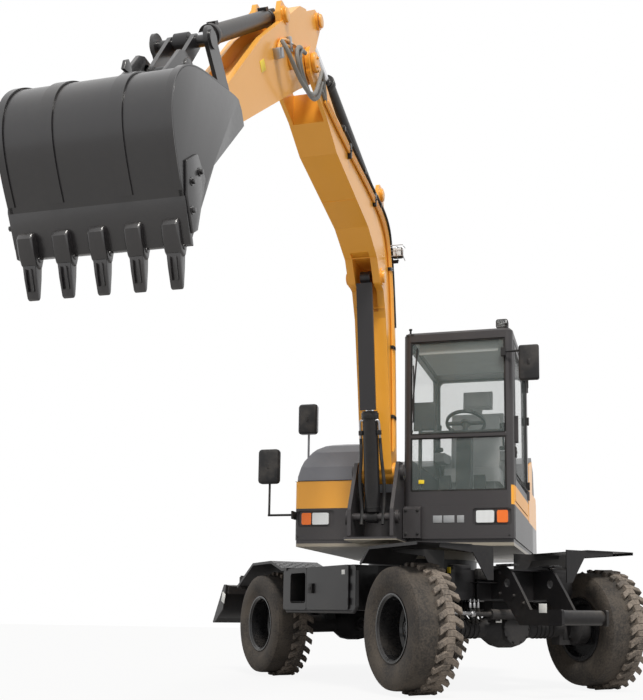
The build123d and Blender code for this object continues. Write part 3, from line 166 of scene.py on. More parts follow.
# one material, with its shader and what varies over the surface
class Finish(Tree):
    def __init__(self, name, colour, rough, metal=0.0, coat=0.0, coatRough=0.1):
        self.mat = bpy.data.materials.new(name)
        self.mat.use_nodes = True
        super().__init__(self.mat.node_tree)
        self.shader = self.tree.nodes.new("ShaderNodeBsdfPrincipled")
        self.close("ShaderNodeOutputMaterial", Wire(self.tree, self.shader.outputs[0]))
        self.steady("Base Color", (*colour, 1))
        self.steady("Roughness", rough)
        self.steady("Metallic", metal)
        self.steady("Coat Weight", coat)
        self.steady("Coat Roughness", coatRough)
        self.steady("Specular IOR Level", 0.25 if max(colour) < 0.1 else 0.45)
        self.spot = None
        finishes[name] = self.mat

    def steady(self, key, value):
        self.shader.inputs[key].default_value = value

    def where(self):
        if self.spot is None:
            self.spot = self.make("ShaderNodeTexCoord", out="Object")
        return self.spot

    def grain(self, scale, detail=3.0, rough=0.55, stretch=None):
        spot = self.where()
        if stretch:
            spot = self.make("ShaderNodeMapping", None, {"Vector": spot, "Scale": stretch})
        values = {"Vector": spot, "Scale": scale, "Detail": detail, "Roughness": rough}
        return self.make("ShaderNodeTexNoise", None, values)

    def axis(self, letter):
        return self.make("ShaderNodeSeparateXYZ", None, {"Vector": self.where()}, out=letter)

    def upward(self):
        face = self.make("ShaderNodeNewGeometry", out="Normal")
        return self.make("ShaderNodeSeparateXYZ", None, {"Vector": face}, out="Z")

    def blend(self, amount, first, second):
        # 6 and 7 are the mix node's two colours and 2 is the colour it gives
        first, second = [tone if isinstance(tone, Wire) else (*tone, 1) for tone in (first, second)]
        return self.make("ShaderNodeMix", {"data_type": "RGBA"}, {0: amount, 6: first, 7: second}, 2)

    def feed(self, name, wire):
        self.tree.links.new(wire.socket, self.shader.inputs[name])

    def bump(self, wire, strength=0.3, depth=0.001):
        dents = self.make("ShaderNodeBump", None, {"Height": wire, "Strength": strength, "Distance": depth})
        self.feed("Normal", dents)


def within(f, windows):
    # 1 inside all the (axis, from, to) windows, else 0
    mask = None
    for letter, low, high in windows:
        line = f.axis(letter)
        part = line.above(low, 0.001) * (1 - line.above(high, 0.001))
        mask = part if mask is None else mask * part
    return mask


tones = {
    "dust": (0.42, 0.36, 0.29),
    "plasticDust": (0.3, 0.27, 0.24),
    "orange": (0.87, 0.39, 0.040),
    "chrome": (0.75, 0.75, 0.77),
    "rodPaint": (0.022, 0.021, 0.023),
}


def paintFinish(name, colour, dusty=0.12, rough=0.32, coat=0.25, regions=(), ribs=0.0, shine=None):
    # regions are pairs of windows and the colour inside them
    f = Finish(name, colour, rough, 0.0, coat, 0.12)
    if shine:
        f.steady("Specular IOR Level", shine)
    broad = f.grain(1.6, 4.0)
    fine = f.grain(38.0, 3.0)
    lying = f.upward().above(0.5, 0.5) * 0.8 + 0.2
    mask = (broad * 0.7 + fine * 0.3).above(0.56, 0.16) * lying * dusty
    deep = tuple(c * 0.94 for c in colour)
    pale = tuple(min(1, c * 1.05) for c in colour)
    tone = f.blend(broad.above(0.5, 0.3) * 0.5, deep, pale)
    for windows, other in regions:
        tone = f.blend(within(f, windows), tone, other)
    f.feed("Base Color", f.blend(mask, tone, tones["dust"]))
    f.feed("Roughness", rough + mask * 0.9 + fine * 0.06)
    skin = f.grain(220.0, 2.0) * 0.25
    if ribs:
        slanted = f.axis("X") * 0.8 + f.axis("Y") * 0.35 + f.axis("Z") * 0.5
        skin = skin + (slanted * ribs).sum("SINE").above(0.80, 0.12) * 3.0
    f.bump(skin, 0.25, 0.0012)


def rubberFinish(name, dark, dust, dusty):
    f = Finish(name, dark, 0.8)
    broad = f.grain(4.0, 5.0)
    fine = f.grain(60.0, 4.0)
    mask = (broad * 0.55 + fine * 0.45).above(0.48, 0.13) * dusty
    f.feed("Base Color", f.blend(mask, dark, dust))
    f.feed("Roughness", 0.70 + mask * 0.2)
    f.bump(fine, 0.3, 0.002)


def glassFinish(name, colour, see):
    f = Finish(name, colour, 0.04)
    f.steady("Alpha", see)
    f.mat.surface_render_method = "BLENDED"
    haze = f.grain(5.0, 3.0).above(0.62, 0.2)
    f.feed("Roughness", 0.03 + haze * 0.06)


def steelFinish(name, colour, rough):
    f = Finish(name, colour, rough, 1.0)
    streak = f.grain(14.0, 3.0, 0.6, (1, 1, 12))
    f.feed("Roughness", rough + streak * 0.12)


# the rods as (y, z): the guard channel lies ahead of the boom rod's line, and each eye has a radius
rodSet = {
    "foot": (0.348, 1.441),
    "ahead": (-0.98725, -0.15917),
    "guardFrom": 0.042,
    "eyes": ((0.032, 3.401, 0.060), (-1.796, 4.540, 0.056), (-3.626, 3.300, 0.052)),
    "rough": 0.14,
}


def rodFinish(name):
    # chrome, with the eyes and the boom cylinder's guard channel painted
    f = Finish(name, tones["chrome"], rodSet["rough"], 1.0)
    y = f.axis("Y")
    z = f.axis("Z")
    footY, footZ = rodSet["foot"]
    aheadY, aheadZ = rodSet["ahead"]
    ahead = (y - footY) * aheadY + (z - footZ) * aheadZ
    mask = ahead.above(rodSet["guardFrom"], 0.002) * y.above(-0.5, 0.1) * z.above(1.8, 0.1)
    for atY, atZ, size in rodSet["eyes"]:
        far = (y - atY) * (y - atY) + (z - atZ) * (z - atZ)
        mask = mask.sum("MAXIMUM", 1 - far.above(size * size, 0.0004))
    streak = f.grain(14.0, 3.0, 0.6, (1, 1, 12))
    f.feed("Base Color", f.blend(mask, tones["chrome"], tones["rodPaint"]))
    f.feed("Metallic", 1 - mask)
    f.feed("Roughness", rodSet["rough"] + streak * 0.12 + mask * 0.2)


lampSet = {
    "amberLeft": (("X", -0.583, -0.491),),
    "amberRight": (("X", 1.139, 1.231),),
    "amberBelow": 2.0,
    "roofFrom": 2.9,
    "flutes": 620.0,
    "clear": ((0.80, 0.82, 0.82), (0.42, 0.44, 0.45)),
    "amber": (0.85, 0.17, 0.015),
    "housing": (0.015, 0.015, 0.016),
}


def lampFinish(name):
    # clear glass, the amber ends of both headlamps, and the roof lamp's black housing
    s = lampSet
    f = Finish(name, (0.72, 0.74, 0.74), 0.1)
    z = f.axis("Z")
    amber = within(f, s["amberLeft"]) + within(f, s["amberRight"])
    amber = amber * (1 - z.above(s["amberBelow"], 0.1))
    flutes = (f.axis("X") * s["flutes"]).sum("SINE")
    lens = f.blend(flutes.above(0.0, 0.9) * 0.5, *s["clear"])
    lens = f.blend(amber, lens, s["amber"])
    f.feed("Base Color", f.blend(z.above(s["roofFrom"], 0.05), lens, s["housing"]))
    f.feed("Roughness", 0.1 + z.above(s["roofFrom"], 0.05) * 0.4)
    f.bump(flutes, 0.3, 0.0015)


def plasticFinish(name, colour, rough):
    f = Finish(name, colour, rough)
    pores = f.grain(420.0, 2.0)
    dusty = f.grain(7.0, 4.0).above(0.58, 0.15)
    f.feed("Base Color", f.blend(dusty * 0.12, colour, tones["plasticDust"]))
    f.feed("Roughness", rough + dusty * 0.2)
    f.bump(pores, 0.12, 0.0004)


def clothFinish(name, colour):
    f = Finish(name, colour, 0.92)
    thread = {"Vector": f.where(), "Scale": 160.0, "Distortion": 1.2}
    weave = f.make("ShaderNodeTexWave", {"bands_direction": "Z"}, thread)
    cross = f.make("ShaderNodeTexWave", {"bands_direction": "X"}, thread)
    patch = f.grain(9.0, 3.0).above(0.5, 0.3) * 0.4
    f.feed("Base Color", f.blend(patch, colour, tuple(c * 0.7 for c in colour)))
    f.bump(weave * cross, 0.35, 0.0006)


# where a piece takes another colour: the counterweight's foot, the sill on the cab's side, the ring
footBlack = ((("Z", 1.0, 1.560), ("Y", 2.75, 3.70)), (0.050, 0.046, 0.048))
sillOrange = ((("Z", 1.570, 1.735), ("X", 1.250, 1.300), ("Y", 0.715, 3.0)), tones["orange"])
ringGrey = ((("Z", 1.100, 1.250),), (0.28, 0.25, 0.20))

paintFinish("orange_paint", tones["orange"], regions=(footBlack,))
paintFinish("dark_paint", (0.013, 0.0125, 0.0135), dusty=0.14, coat=0.1)
paintFinish("grey_paint", (0.19, 0.195, 0.215), dusty=0.1, ribs=26.0)
charcoal = {"dusty": 0.1, "rough": 0.40, "coat": 0.08, "shine": 0.42}
paintFinish("charcoal_paint", (0.036, 0.033, 0.035), regions=(sillOrange, ringGrey), **charcoal)
paintFinish("bucket_paint", (0.0095, 0.0085, 0.0098), dusty=0.08, rough=0.30, coat=0.25, shine=0.80)
paintFinish("rim_paint", (0.012, 0.012, 0.013), dusty=0.12, rough=0.22, coat=0.5)
paintFinish("cast_iron", (0.03, 0.029, 0.03), dusty=0.25, rough=0.6, coat=0.0)
rubberFinish("tyre_rubber", (0.030, 0.027, 0.025), (0.12, 0.10, 0.08), 0.6)
rubberFinish("lug_rubber", (0.060, 0.053, 0.047), (0.24, 0.20, 0.165), 0.9)
glassFinish("tinted_glass", (0.26, 0.32, 0.31), 0.15)
clothFinish("seat_fabric", (0.50, 0.50, 0.50))
rodFinish("chrome_rod")
lampFinish("lamp_lens")
steelFinish("steel_grey", (0.42, 0.42, 0.43), 0.34)
steelFinish("mirror_glass", (0.8, 0.82, 0.84), 0.04)
plastics = {
    "black_plastic": ((0.018, 0.018, 0.019), 0.5),
    "black_rubber": ((0.012, 0.012, 0.012), 0.7),
    "hose_grey": ((0.20, 0.195, 0.18), 0.55),
    "lining_grey": ((0.42, 0.43, 0.42), 0.8),
    "clear_lens": ((0.72, 0.74, 0.74), 0.08),
    "amber_lens": ((0.85, 0.20, 0.02), 0.15),
    "blank_yellow": ((0.85, 0.62, 0.03), 0.4),
    "blank_white": ((0.75, 0.75, 0.72), 0.4),
    "blank_grey": ((0.30, 0.31, 0.32), 0.35),
}
for name, (colour, rough) in plastics.items():
    plasticFinish(name, colour, rough)
print("finishes made,", len(finishes))

nodeFinish = {part["node"]: part["material_slot"] for part in frame["record"]["subparts"]}
for name, part in nodes.items():
    part.data.materials.clear()
    part.data.materials.append(finishes[nodeFinish[name]])


roomSet = {
    "worldLight": 0.72,
    "shades": ((0.42, (0.34, 0.33, 0.32)), (0.75, (0.93, 0.96, 1.0))),
    "floorSize": 60.0,
    "floorColour": (0.46, 0.45, 0.44, 1),
    "floorGlow": 0.90,
    "white": (1, 1, 1, 1),
    "sunTurn": 25.0,
    "sunLift": 52.0,
    "sunPower": 3.0,
    "sunSize": 12,
    "sunColour": (1.0, 0.97, 0.92),
}


def buildRoom():
    world = bpy.data.worlds.new("room")
    world.use_nodes = True
    sky = Tree(world.node_tree)
    spot = sky.make("ShaderNodeTexCoord", out="Generated")
    height = sky.make("ShaderNodeSeparateXYZ", None, {"Vector": spot}, out="Z") * 0.5 + 0.5
    shade = sky.make("ShaderNodeValToRGB", {"stops": roomSet["shades"]}, {"Fac": height})
    soft = sky.make("ShaderNodeBackground", None, {"Color": shade, "Strength": roomSet["worldLight"]})
    white = sky.make("ShaderNodeBackground", None, {"Color": roomSet["white"]})
    seen = sky.rays("Is Camera Ray", "Is Transmission Ray", "Is Glossy Ray")
    both = sky.make("ShaderNodeMixShader", None, {0: seen, 1: soft, 2: white})
    sky.close("ShaderNodeOutputWorld", both)
    bpy.context.scene.world = world

    bpy.ops.mesh.primitive_plane_add(size=roomSet["floorSize"], location=(0, 0, 0))
    floor = bpy.context.object
    floor.name = "floor"
    mat = bpy.data.materials.new("floor_pale")
    mat.use_nodes = True
    pale = Tree(mat.node_tree)
    matt = pale.make("ShaderNodeBsdfDiffuse", None, {"Color": roomSet["floorColour"]})
    glow = pale.make("ShaderNodeEmission", None, {"Color": roomSet["white"]})
    seen = pale.rays("Is Camera Ray", "Is Transmission Ray") * roomSet["floorGlow"]
    both = pale.make("ShaderNodeMixShader", None, {0: seen, 1: matt, 2: glow})
    pale.close("ShaderNodeOutputMaterial", both)
    floor.data.materials.append(mat)

    sun = bpy.data.lights.new("sun", "SUN")
    sun.energy = roomSet["sunPower"]
    sun.angle = radians(roomSet["sunSize"])
    sun.color = roomSet["sunColour"]
    lamp = bpy.data.objects.new("sun", sun)
    bpy.context.scene.collection.objects.link(lamp)
    turn = Matrix.Rotation(radians(roomSet["sunTurn"]), 4, "Z")
    lamp.matrix_world = turn @ Matrix.Rotation(radians(90 - roomSet["sunLift"]), 4, "X")
    bpy.context.scene.view_settings.view_transform = "Standard"


# small helpers that add a primitive, shape it and settle it on a body

def clear():
    bpy.ops.object.select_all(action="DESELECT")


def modified(piece, kind, **settings):
    clear()
    piece.select_set(True)
    bpy.context.view_layer.objects.active = piece
    mod = piece.modifiers.new(kind.lower(), kind)
    for key, value in settings.items():
        setattr(mod, key, value)
    bpy.ops.object.modifier_apply(modifier=mod.name)
    return piece


def bevelled(piece, width, steps=2):
    sharp = {"limit_method": "ANGLE", "angle_limit": radians(40)}
    return modified(piece, "BEVEL", width=width, segments=steps, **sharp)


def block(size, spot, edge=0.004, turn=(0, 0, 0), steps=2):
    clear()
    bpy.ops.mesh.primitive_cube_add(size=1, location=spot, rotation=turn)
    piece = bpy.context.object
    piece.scale = size
    bpy.ops.object.transform_apply(location=False, rotation=False, scale=True)
    return bevelled(piece, edge, steps) if edge else piece


def rod(start, end, radius, sides=20, edge=0.0):
    clear()
    run = Vector(end) - Vector(start)
    bpy.ops.mesh.primitive_cylinder_add(
        vertices=sides,
        radius=radius,
        depth=run.length,
        location=(Vector(start) + Vector(end)) / 2,
        rotation=run.to_track_quat("Z", "Y").to_euler(),
    )
    piece = bpy.context.object
    return bevelled(piece, edge, 2) if edge else piece


def pickFaces(piece, axis, sign):
    # in edit mode, with only the faces selected that look along the axis
    bpy.ops.object.mode_set(mode="EDIT")
    bpy.ops.mesh.select_mode(type="FACE")
    bpy.ops.mesh.select_all(action="DESELECT")
    bpy.ops.object.mode_set(mode="OBJECT")
    for face in piece.data.polygons:
        face.select = face.normal[axis] * sign > 0.9
    bpy.ops.object.mode_set(mode="EDIT")


def rightWayOut():
    # all faces turned outwards, and back to object mode
    bpy.ops.mesh.normals_make_consistent(inside=False)
    bpy.ops.object.mode_set(mode="OBJECT")


def prism(outline, low, high, edge=0.003, steps=2):
    # a plate whose outline is given as (y, z), from x = low to x = high
    clear()
    bpy.ops.mesh.primitive_circle_add(vertices=len(outline), radius=1, fill_type="NGON")
    piece = bpy.context.object
    for corner, (y, z) in zip(piece.data.vertices, outline):
        corner.co = (low, y, z)
    bpy.ops.object.mode_set(mode="EDIT")
    bpy.ops.mesh.select_all(action="SELECT")
    bpy.ops.mesh.extrude_region_move(TRANSFORM_OT_translate={"value": (high - low, 0, 0)})
    bpy.ops.mesh.select_all(action="SELECT")
    rightWayOut()
    return bevelled(piece, edge, steps) if edge else piece


def turned(profile, steps=48):
    # a closed profile of (x, radius) points, spun about the x axis
    clear()
    bpy.ops.mesh.primitive_circle_add(vertices=len(profile), radius=1)
    piece = bpy.context.object
    for corner, (x, r) in zip(piece.data.vertices, profile):
        corner.co = (x, 0, r)
    bpy.ops.object.mode_set(mode="EDIT")
    bpy.ops.mesh.select_all(action="SELECT")
    bpy.ops.mesh.spin(steps=steps, angle=2 * pi, center=(0, 0, 0), axis=(1, 0, 0))
    bpy.ops.mesh.select_all(action="SELECT")
    bpy.ops.mesh.remove_doubles(threshold=0.0002)
    rightWayOut()
    return piece


def hose(points, radius, steps=5):
    # a smooth tube through given points, as a mesh
    clear()
    data = bpy.data.curves.new("hose", "CURVE")
    data.dimensions = "3D"
    data.bevel_depth = radius
    data.bevel_resolution = 2
    data.resolution_u = steps
    data.use_fill_caps = True
    line = data.splines.new("NURBS")
    line.points.add(len(points) - 1)
    for point, spot in zip(line.points, points):
        point.co = (*spot, 1)
    line.use_endpoint_u = True
    line.order_u = 3
    piece = bpy.data.objects.new("hose", data)
    bpy.context.scene.collection.objects.link(piece)
    piece.select_set(True)
    bpy.context.view_layer.objects.active = piece
    bpy.ops.object.convert(target="MESH")
    return bpy.context.object


def copied(piece, at):
    twin = piece.copy()
    twin.data = piece.data.copy()
    bpy.context.scene.collection.objects.link(twin)
    twin.matrix_world = at @ piece.matrix_world
    return twin


def joined(pieces):
    clear()
    for piece in pieces:
        piece.select_set(True)
    bpy.context.view_layer.objects.active = pieces[0]
    bpy.ops.object.transform_apply(location=True, rotation=True, scale=True)
    bpy.ops.object.join()
    return bpy.context.object


chassisBodies = ("undercarriage", "blade", "cabinet_door", "knuckle_left", "knuckle_right")


def settle(made, name, finish, body, at=None, angle=35):
    # one shape or a list of shapes, named, finished and set on its body; the body gives its place
    if at is None:
        at = chassisAt if body in chassisBodies else upperAt
    piece = joined(made) if isinstance(made, list) else made
    clear()
    piece.select_set(True)
    bpy.context.view_layer.objects.active = piece
    piece.matrix_world = at @ piece.matrix_world
    bpy.ops.object.transform_apply(location=True, rotation=True, scale=True)
    bpy.ops.object.shade_smooth_by_angle(angle=radians(angle))
    piece.name = name
    piece.data.name = name
    piece.data.materials.clear()
    piece.data.materials.append(finishes[finish])
    if body:
        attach(piece, body)
    return piece


def hexBolt(spot, way, size):
    # a bolt head on its washer
    spot = Vector(spot)
    way = Vector(way).normalized()
    washer = rod(spot, spot + way * size * 0.22, size * 1.05, 16, 0.0008)
    head = rod(spot + way * size * 0.2, spot + way * size * 0.95, size * 0.72, 6, 0.001)
    return joined([washer, head])


# wheels: own tyres with two-step lugs, wheel nuts and hub bolts

tyre = {
    "radius": 0.530,
    "halfWidth": 0.168,
    "treadHalf": 0.139,
    "crownDrop": 0.003,
    "lugHeight": 0.034,
    "lugSunk": 0.012,
    "lugThick": 0.054,
    "lugOutside": 0.006,
    "lugStep": 0.080,
    "lugMiddle": 0.008,
    "lugSlant": 0.046,
    "shoulder": (0.022, 0, -0.070),
    "pitches": 30,
    "bead": 0.283,
    "seat": 0.2595,
    "seams": 60,
}


def lugMaster():
    # one lug on the +x side: its outer block, the slanted step to the middle, the foot on the shoulder
    t = tyre
    top = t["radius"] - t["crownDrop"]
    foot = top - t["lugHeight"] - t["lugSunk"]
    outside = t["treadHalf"] + t["lugOutside"]
    size = (outside - t["lugStep"], t["lugThick"], top - foot)
    lug = block(size, ((outside + t["lugStep"]) / 2, 0, (top + foot) / 2), 0)
    inwards = (t["lugMiddle"] - t["lugStep"], -t["lugSlant"], 0)
    for sign, way in ((-1, inwards), (1, t["shoulder"])):
        pickFaces(lug, 0, sign)
        bpy.ops.mesh.extrude_region_move(TRANSFORM_OT_translate={"value": way})
    bpy.ops.mesh.select_all(action="SELECT")
    rightWayOut()
    return bevelled(lug, 0.005, 1)


def tyreMaster():
    t = tyre
    bead = t["bead"]
    tread = t["radius"] - t["lugHeight"] - t["crownDrop"]
    half = (
        (0.132, t["seat"]),
        (0.134, bead),
        (0.146, bead + 0.020),
        (0.158, bead + 0.058),
        (0.161, bead + 0.062),
        (t["halfWidth"] - 0.002, bead + 0.100),
        (t["halfWidth"], bead + 0.130),
        (0.166, tread - 0.052),
        (0.160, tread - 0.026),
        (0.146, tread - 0.006),
        (0.115, tread),
        (0.0, tread + 0.003),
    )
    profile = list(half) + [(-x, z) for x, z in half[-2::-1]]
    ring = turned(profile, t["seams"])
    pieces = []
    lug = lugMaster()
    pitch = 2 * pi / t["pitches"]
    for i in range(t["pitches"]):
        pieces.append(copied(lug, Matrix.Rotation((i + 0.25) * pitch, 4, "X")))
        twin = copied(lug, Matrix.Rotation((i - 0.25) * pitch, 4, "X"))
        for corner in twin.data.vertices:
            corner.co.x = -corner.co.x
        twin.data.flip_normals()
        pieces.append(twin)
    bpy.data.objects.remove(lug)
    return ring, joined(pieces)


def wheelPlace(joint):
    spot = Vector(joint["pos_m"])
    way = Vector(joint["axis"]).normalized()
    up = Vector((0, 0, 1))
    ahead = up.cross(way).normalized()
    turn = Matrix((way, ahead, up)).transposed().to_4x4()
    return Matrix.Translation(spot) @ turn


# each row of bolts: how many, the share of a step the first is turned, circle, face and size
wheelBolts = ((10, 0.0, 0.140, -0.0825, 0.017), (6, 0.5, 0.034, 0.0075, 0.007))


def buildWheels():
    ring, lugs = tyreMaster()
    for joint in frame["joints"]:
        child = joint["child"]
        if not child.startswith("wheel_"):
            continue
        corner = child[len("wheel_"):]
        side = 1 if corner.endswith("left") else -1
        at = wheelPlace(joint)
        visible = copied(ring, Matrix.Identity(4))
        rubber = settle(visible, "tyre_visible_" + corner, "tyre_rubber", child, at)
        settle(copied(lugs, Matrix.Identity(4)), "tyre_lugs_" + corner, "lug_rubber", child, at, 25)
        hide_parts("tyre_" + corner)
        nuts = []
        for count, first, circle, face, size in wheelBolts:
            for i in range(count):
                turn = 2 * pi * (i + first) / count
                spot = (side * face, circle * cos(turn), circle * sin(turn))
                nuts.append(hexBolt(spot, (side, 0, 0), size))
        settle(nuts, "wheel_nuts_" + corner, "cast_iron", child, at)
        valve = rod((side * 0.070, 0, 0.236), (side * 0.118, 0, 0.230), 0.006, 10, 0.001)
        settle(valve, "tyre_valve_" + corner, "black_plastic", child, at)
    bpy.data.objects.remove(ring)
    bpy.data.objects.remove(lugs)
    print("wheels built")


buildWheels()


# bucket: curved shell, side plates, lip, cutters, ears and two-part teeth, outlines as (y, z)

boomX = -0.150
bucket = {
    "half": 0.372,
    "wall": 0.018,
    "cutterThick": 0.014,
    "earAt": 0.099,
    "earThick": 0.022,
    "mouth": ((-5.886, 2.440), (-5.950, 2.310)),
    "heel": ((-5.600, 2.826), (-5.568, 2.770)),
    "toothPitch": 0.155,
    "pin": (-5.390, 2.925),
    "linkPin": (-5.600, 3.060),
    "strips": ((-0.371, -0.340), (-0.182, -0.126), (0.112, 0.168), (0.343, 0.371)),
    "boltSpots": ((-6.118, 2.150), (-6.130, 2.260), (-6.060, 2.330)),
}
bucketCurve = (
    (-6.088, 2.032),
    (-6.150, 2.160),
    (-6.236, 2.310),
    (-6.284, 2.430),
    (-6.292, 2.530),
    (-6.262, 2.625),
    (-6.185, 2.706),
    (-6.060, 2.762),
    (-5.900, 2.800),
    (-5.700, 2.850),
    (-5.640, 2.856),
)
bucketShapes = {
    "lip": ((-6.066, 2.028), (-6.096, 2.026), (-6.168, 2.190), (-6.138, 2.199)),
    "cutter": (
        (-6.054, 2.095), (-6.098, 2.066), (-6.162, 2.196),
        (-6.176, 2.326), (-6.082, 2.396), (-5.996, 2.330),
    ),
    "ear": (
        (-5.955, 2.776), (-5.800, 2.960), (-5.690, 3.102), (-5.640, 3.126),
        (-5.580, 3.124), (-5.450, 3.050), (-5.345, 2.985), (-5.326, 2.930),
        (-5.345, 2.880), (-5.420, 2.852), (-5.700, 2.836),
    ),
    "adapter": (
        (-6.052, 2.075), (-6.056, 2.030), (-6.064, 1.990), (-6.086, 1.980), (-6.112, 1.992),
        (-6.138, 2.030), (-6.158, 2.085), (-6.150, 2.112), (-6.128, 2.120),
    ),
    "tip": (
        (-6.060, 2.004), (-6.054, 1.950), (-6.050, 1.878), (-6.056, 1.862),
        (-6.070, 1.870), (-6.096, 1.940), (-6.112, 1.998),
    ),
    "eye": ((-6.140, 2.756), (-6.128, 2.800), (-6.104, 2.818), (-6.080, 2.800), (-6.068, 2.766)),
}


def softened(points, rounds=3):
    # corner cutting: each round puts two points a quarter in from each corner
    for _ in range(rounds):
        line = [points[0]]
        for a, b in zip(points, points[1:]):
            line.append((a[0] * 0.75 + b[0] * 0.25, a[1] * 0.75 + b[1] * 0.25))
            line.append((a[0] * 0.25 + b[0] * 0.75, a[1] * 0.25 + b[1] * 0.75))
        line.append(points[-1])
        points = line
    return points


def bentSheet(line, low, high, thickness):
    # a sheet that follows (y, z) points, from x = low to x = high, thickened to one side of the line
    clear()
    bpy.ops.mesh.primitive_circle_add(vertices=len(line), radius=1)
    piece = bpy.context.object
    for corner, (y, z) in zip(piece.data.vertices, line):
        corner.co = (low, y, z)
    ends = {0, len(line) - 1}
    bpy.ops.object.mode_set(mode="EDIT")
    bpy.ops.mesh.select_all(action="DESELECT")
    bpy.ops.mesh.select_mode(type="EDGE")
    bpy.ops.object.mode_set(mode="OBJECT")
    for edge in piece.data.edges:
        edge.select = set(edge.vertices) == ends
    bpy.ops.object.mode_set(mode="EDIT")
    bpy.ops.mesh.delete(type="EDGE_FACE")
    bpy.ops.mesh.select_all(action="SELECT")
    bpy.ops.mesh.extrude_region_move(TRANSFORM_OT_translate={"value": (high - low, 0, 0)})
    bpy.ops.object.mode_set(mode="OBJECT")
    return modified(piece, "SOLIDIFY", thickness=thickness, offset=1.0)


def acrossBoom(spot, near, far, radius, sides, edge):
    # a rod along x at a (y, z) spot, its ends measured from the boom's middle plane
    return rod((boomX + near, *spot), (boomX + far, *spot), radius, sides, edge)


def toothPieces(x):
    pieces = [prism(bucketShapes["adapter"], x - 0.036, x + 0.036, 0.012, 3)]
    tip = prism(bucketShapes["tip"], x - 0.030, x + 0.030, 0)
    for corner in tip.data.vertices:
        narrow = min(1.0, max(0.0, (1.990 - corner.co.z) / 0.12))
        corner.co.x = x + (corner.co.x - x) * (1 - 0.16 * narrow)
    pieces.append(bevelled(tip, 0.006))
    for shift in (-0.012, 0.012):
        pieces.append(block((0.008, 0.012, 0.090), (x + shift, -6.100, 1.935), 0.003, (0.33, 0, 0)))
    pieces.append(rod((x - 0.040, -6.090, 2.020), (x + 0.040, -6.090, 2.020), 0.011, 12, 0.001))
    return pieces


def buildBucket():
    b = bucket
    half, wall, thick = b["half"], b["wall"], b["cutterThick"]
    low, high = boomX - half, boomX + half
    curve = softened(bucketCurve)
    pieces = [bentSheet(curve, low + 0.004, high - 0.004, wall)]
    sideOutline = [*curve, *b["heel"], *b["mouth"]]
    for x in (low, high - wall):
        pieces.append(prism(sideOutline, x, x + wall, 0.003))
    pieces.append(prism(bucketShapes["lip"], low - 0.004, high + 0.004, 0.004))
    for x in (low - thick, high):
        pieces.append(prism(bucketShapes["cutter"], x, x + thick, 0.004))
    for side in (-1, 1):
        inner = boomX + side * b["earAt"] - b["earThick"] / 2
        pieces.append(prism(bucketShapes["ear"], inner, inner + b["earThick"], 0.004))
        for spot, r in ((b["pin"], 0.056), (b["linkPin"], 0.046)):
            pieces.append(acrossBoom(spot, side * 0.088, side * 0.119, r, 32, 0.004))
            pieces.append(acrossBoom(spot, side * 0.116, side * 0.121, r * 0.55, 24, 0.001))
    for spot, r in ((b["pin"], 0.032), (b["linkPin"], 0.026)):
        pieces.append(acrossBoom(spot, -0.120, 0.120, r, 24, 0.002))
    for i in range(-2, 3):
        pieces += toothPieces(boomX + i * b["toothPitch"])
    # wear strips lie over the shell, from the lip upwards
    line = [(y - 0.001, z + 0.001) for y, z in curve[14:-14]]
    for start, end in b["strips"]:
        pieces.append(bentSheet(line, boomX + start, boomX + end, -0.006))
    pieces.append(prism(bucketShapes["eye"], boomX + 0.070, boomX + 0.086, 0.003))
    made = settle(pieces, "bucket_visible", "bucket_paint", "bucket", angle=30)
    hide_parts("bucket")
    bolts = []
    for side in (-1, 1):
        for spot in b["boltSpots"]:
            bolts.append(hexBolt((boomX + side * (half + thick), *spot), (side, 0, 0), 0.016))
    settle(bolts, "bucket_cutter_bolts", "bucket_paint", "bucket")
    print("bucket built")


buildBucket()


# pipes, hoses, clamps and pin caps of the boom, the arm and their cylinders

boomSide = -0.015
armSide = -0.050

# foot and eye as (y, z), the barrel's radius, and its length from the foot
cylinderEnds = {
    "boom": ((-1.456, 1.441), (-1.772, 3.401), 0.064, 0.880),
    "arm": ((-1.640, 4.170), (-3.600, 4.540), 0.054, 1.440),
    "bucket": ((-4.260, 4.170), (-5.430, 3.300), 0.048, 1.110),
}
boomPipes = {
    "radius": 0.0095,
    "shifts": (-0.036, 0.0, 0.036),
    "out": 0.012,
    "line": (
        (-1.335, 2.020), (-1.350, 2.500), (-1.395, 3.050), (-1.450, 3.400), (-1.560, 3.720),
        (-1.760, 3.890), (-2.300, 3.945), (-3.100, 3.965), (-3.520, 4.010),
    ),
    "clamps": (
        (-1.342, 2.300, (0.0, 1)),
        (-1.380, 2.900, (-0.1, 1)),
        (-1.500, 3.560, (-0.3, 1)),
        (-2.100, 3.928, (1, -0.1)),
        (-2.900, 3.958, (1, 0)),
    ),
}
topTubes = {
    "radius": 0.011,
    "line": (
        (-3.060, 4.057), (-2.600, 4.028), (-2.200, 4.003), (-1.900, 3.984), (-1.700, 3.970),
        (-1.520, 3.905), (-1.440, 3.780), (-1.330, 3.480), (-1.260, 3.100),
    ),
    "saddles": ((-3.040, 4.060), (-2.420, 4.022), (-1.860, 3.986)),
}
boomWelds = ((-1.648, 3.178), (-1.960, 3.504), (-2.640, 3.703))
armPivot = (-3.790, 4.130)
armPipeLine = ((-3.960, 4.080), (-4.120, 4.030), (-4.300, 3.960), (-4.380, 3.900), (-4.400, 3.840))


def clampAt(spot, along, size):
    # a clamp block across the pipes, with one bolt on it
    turn = (atan2(along[1], along[0]), 0, 0)
    body = block((0.030, 0.030, size), spot, 0.004, turn)
    top = hexBolt((spot[0] + 0.014, spot[1], spot[2]), (1, 0, 0), 0.008)
    return joined([body, top])


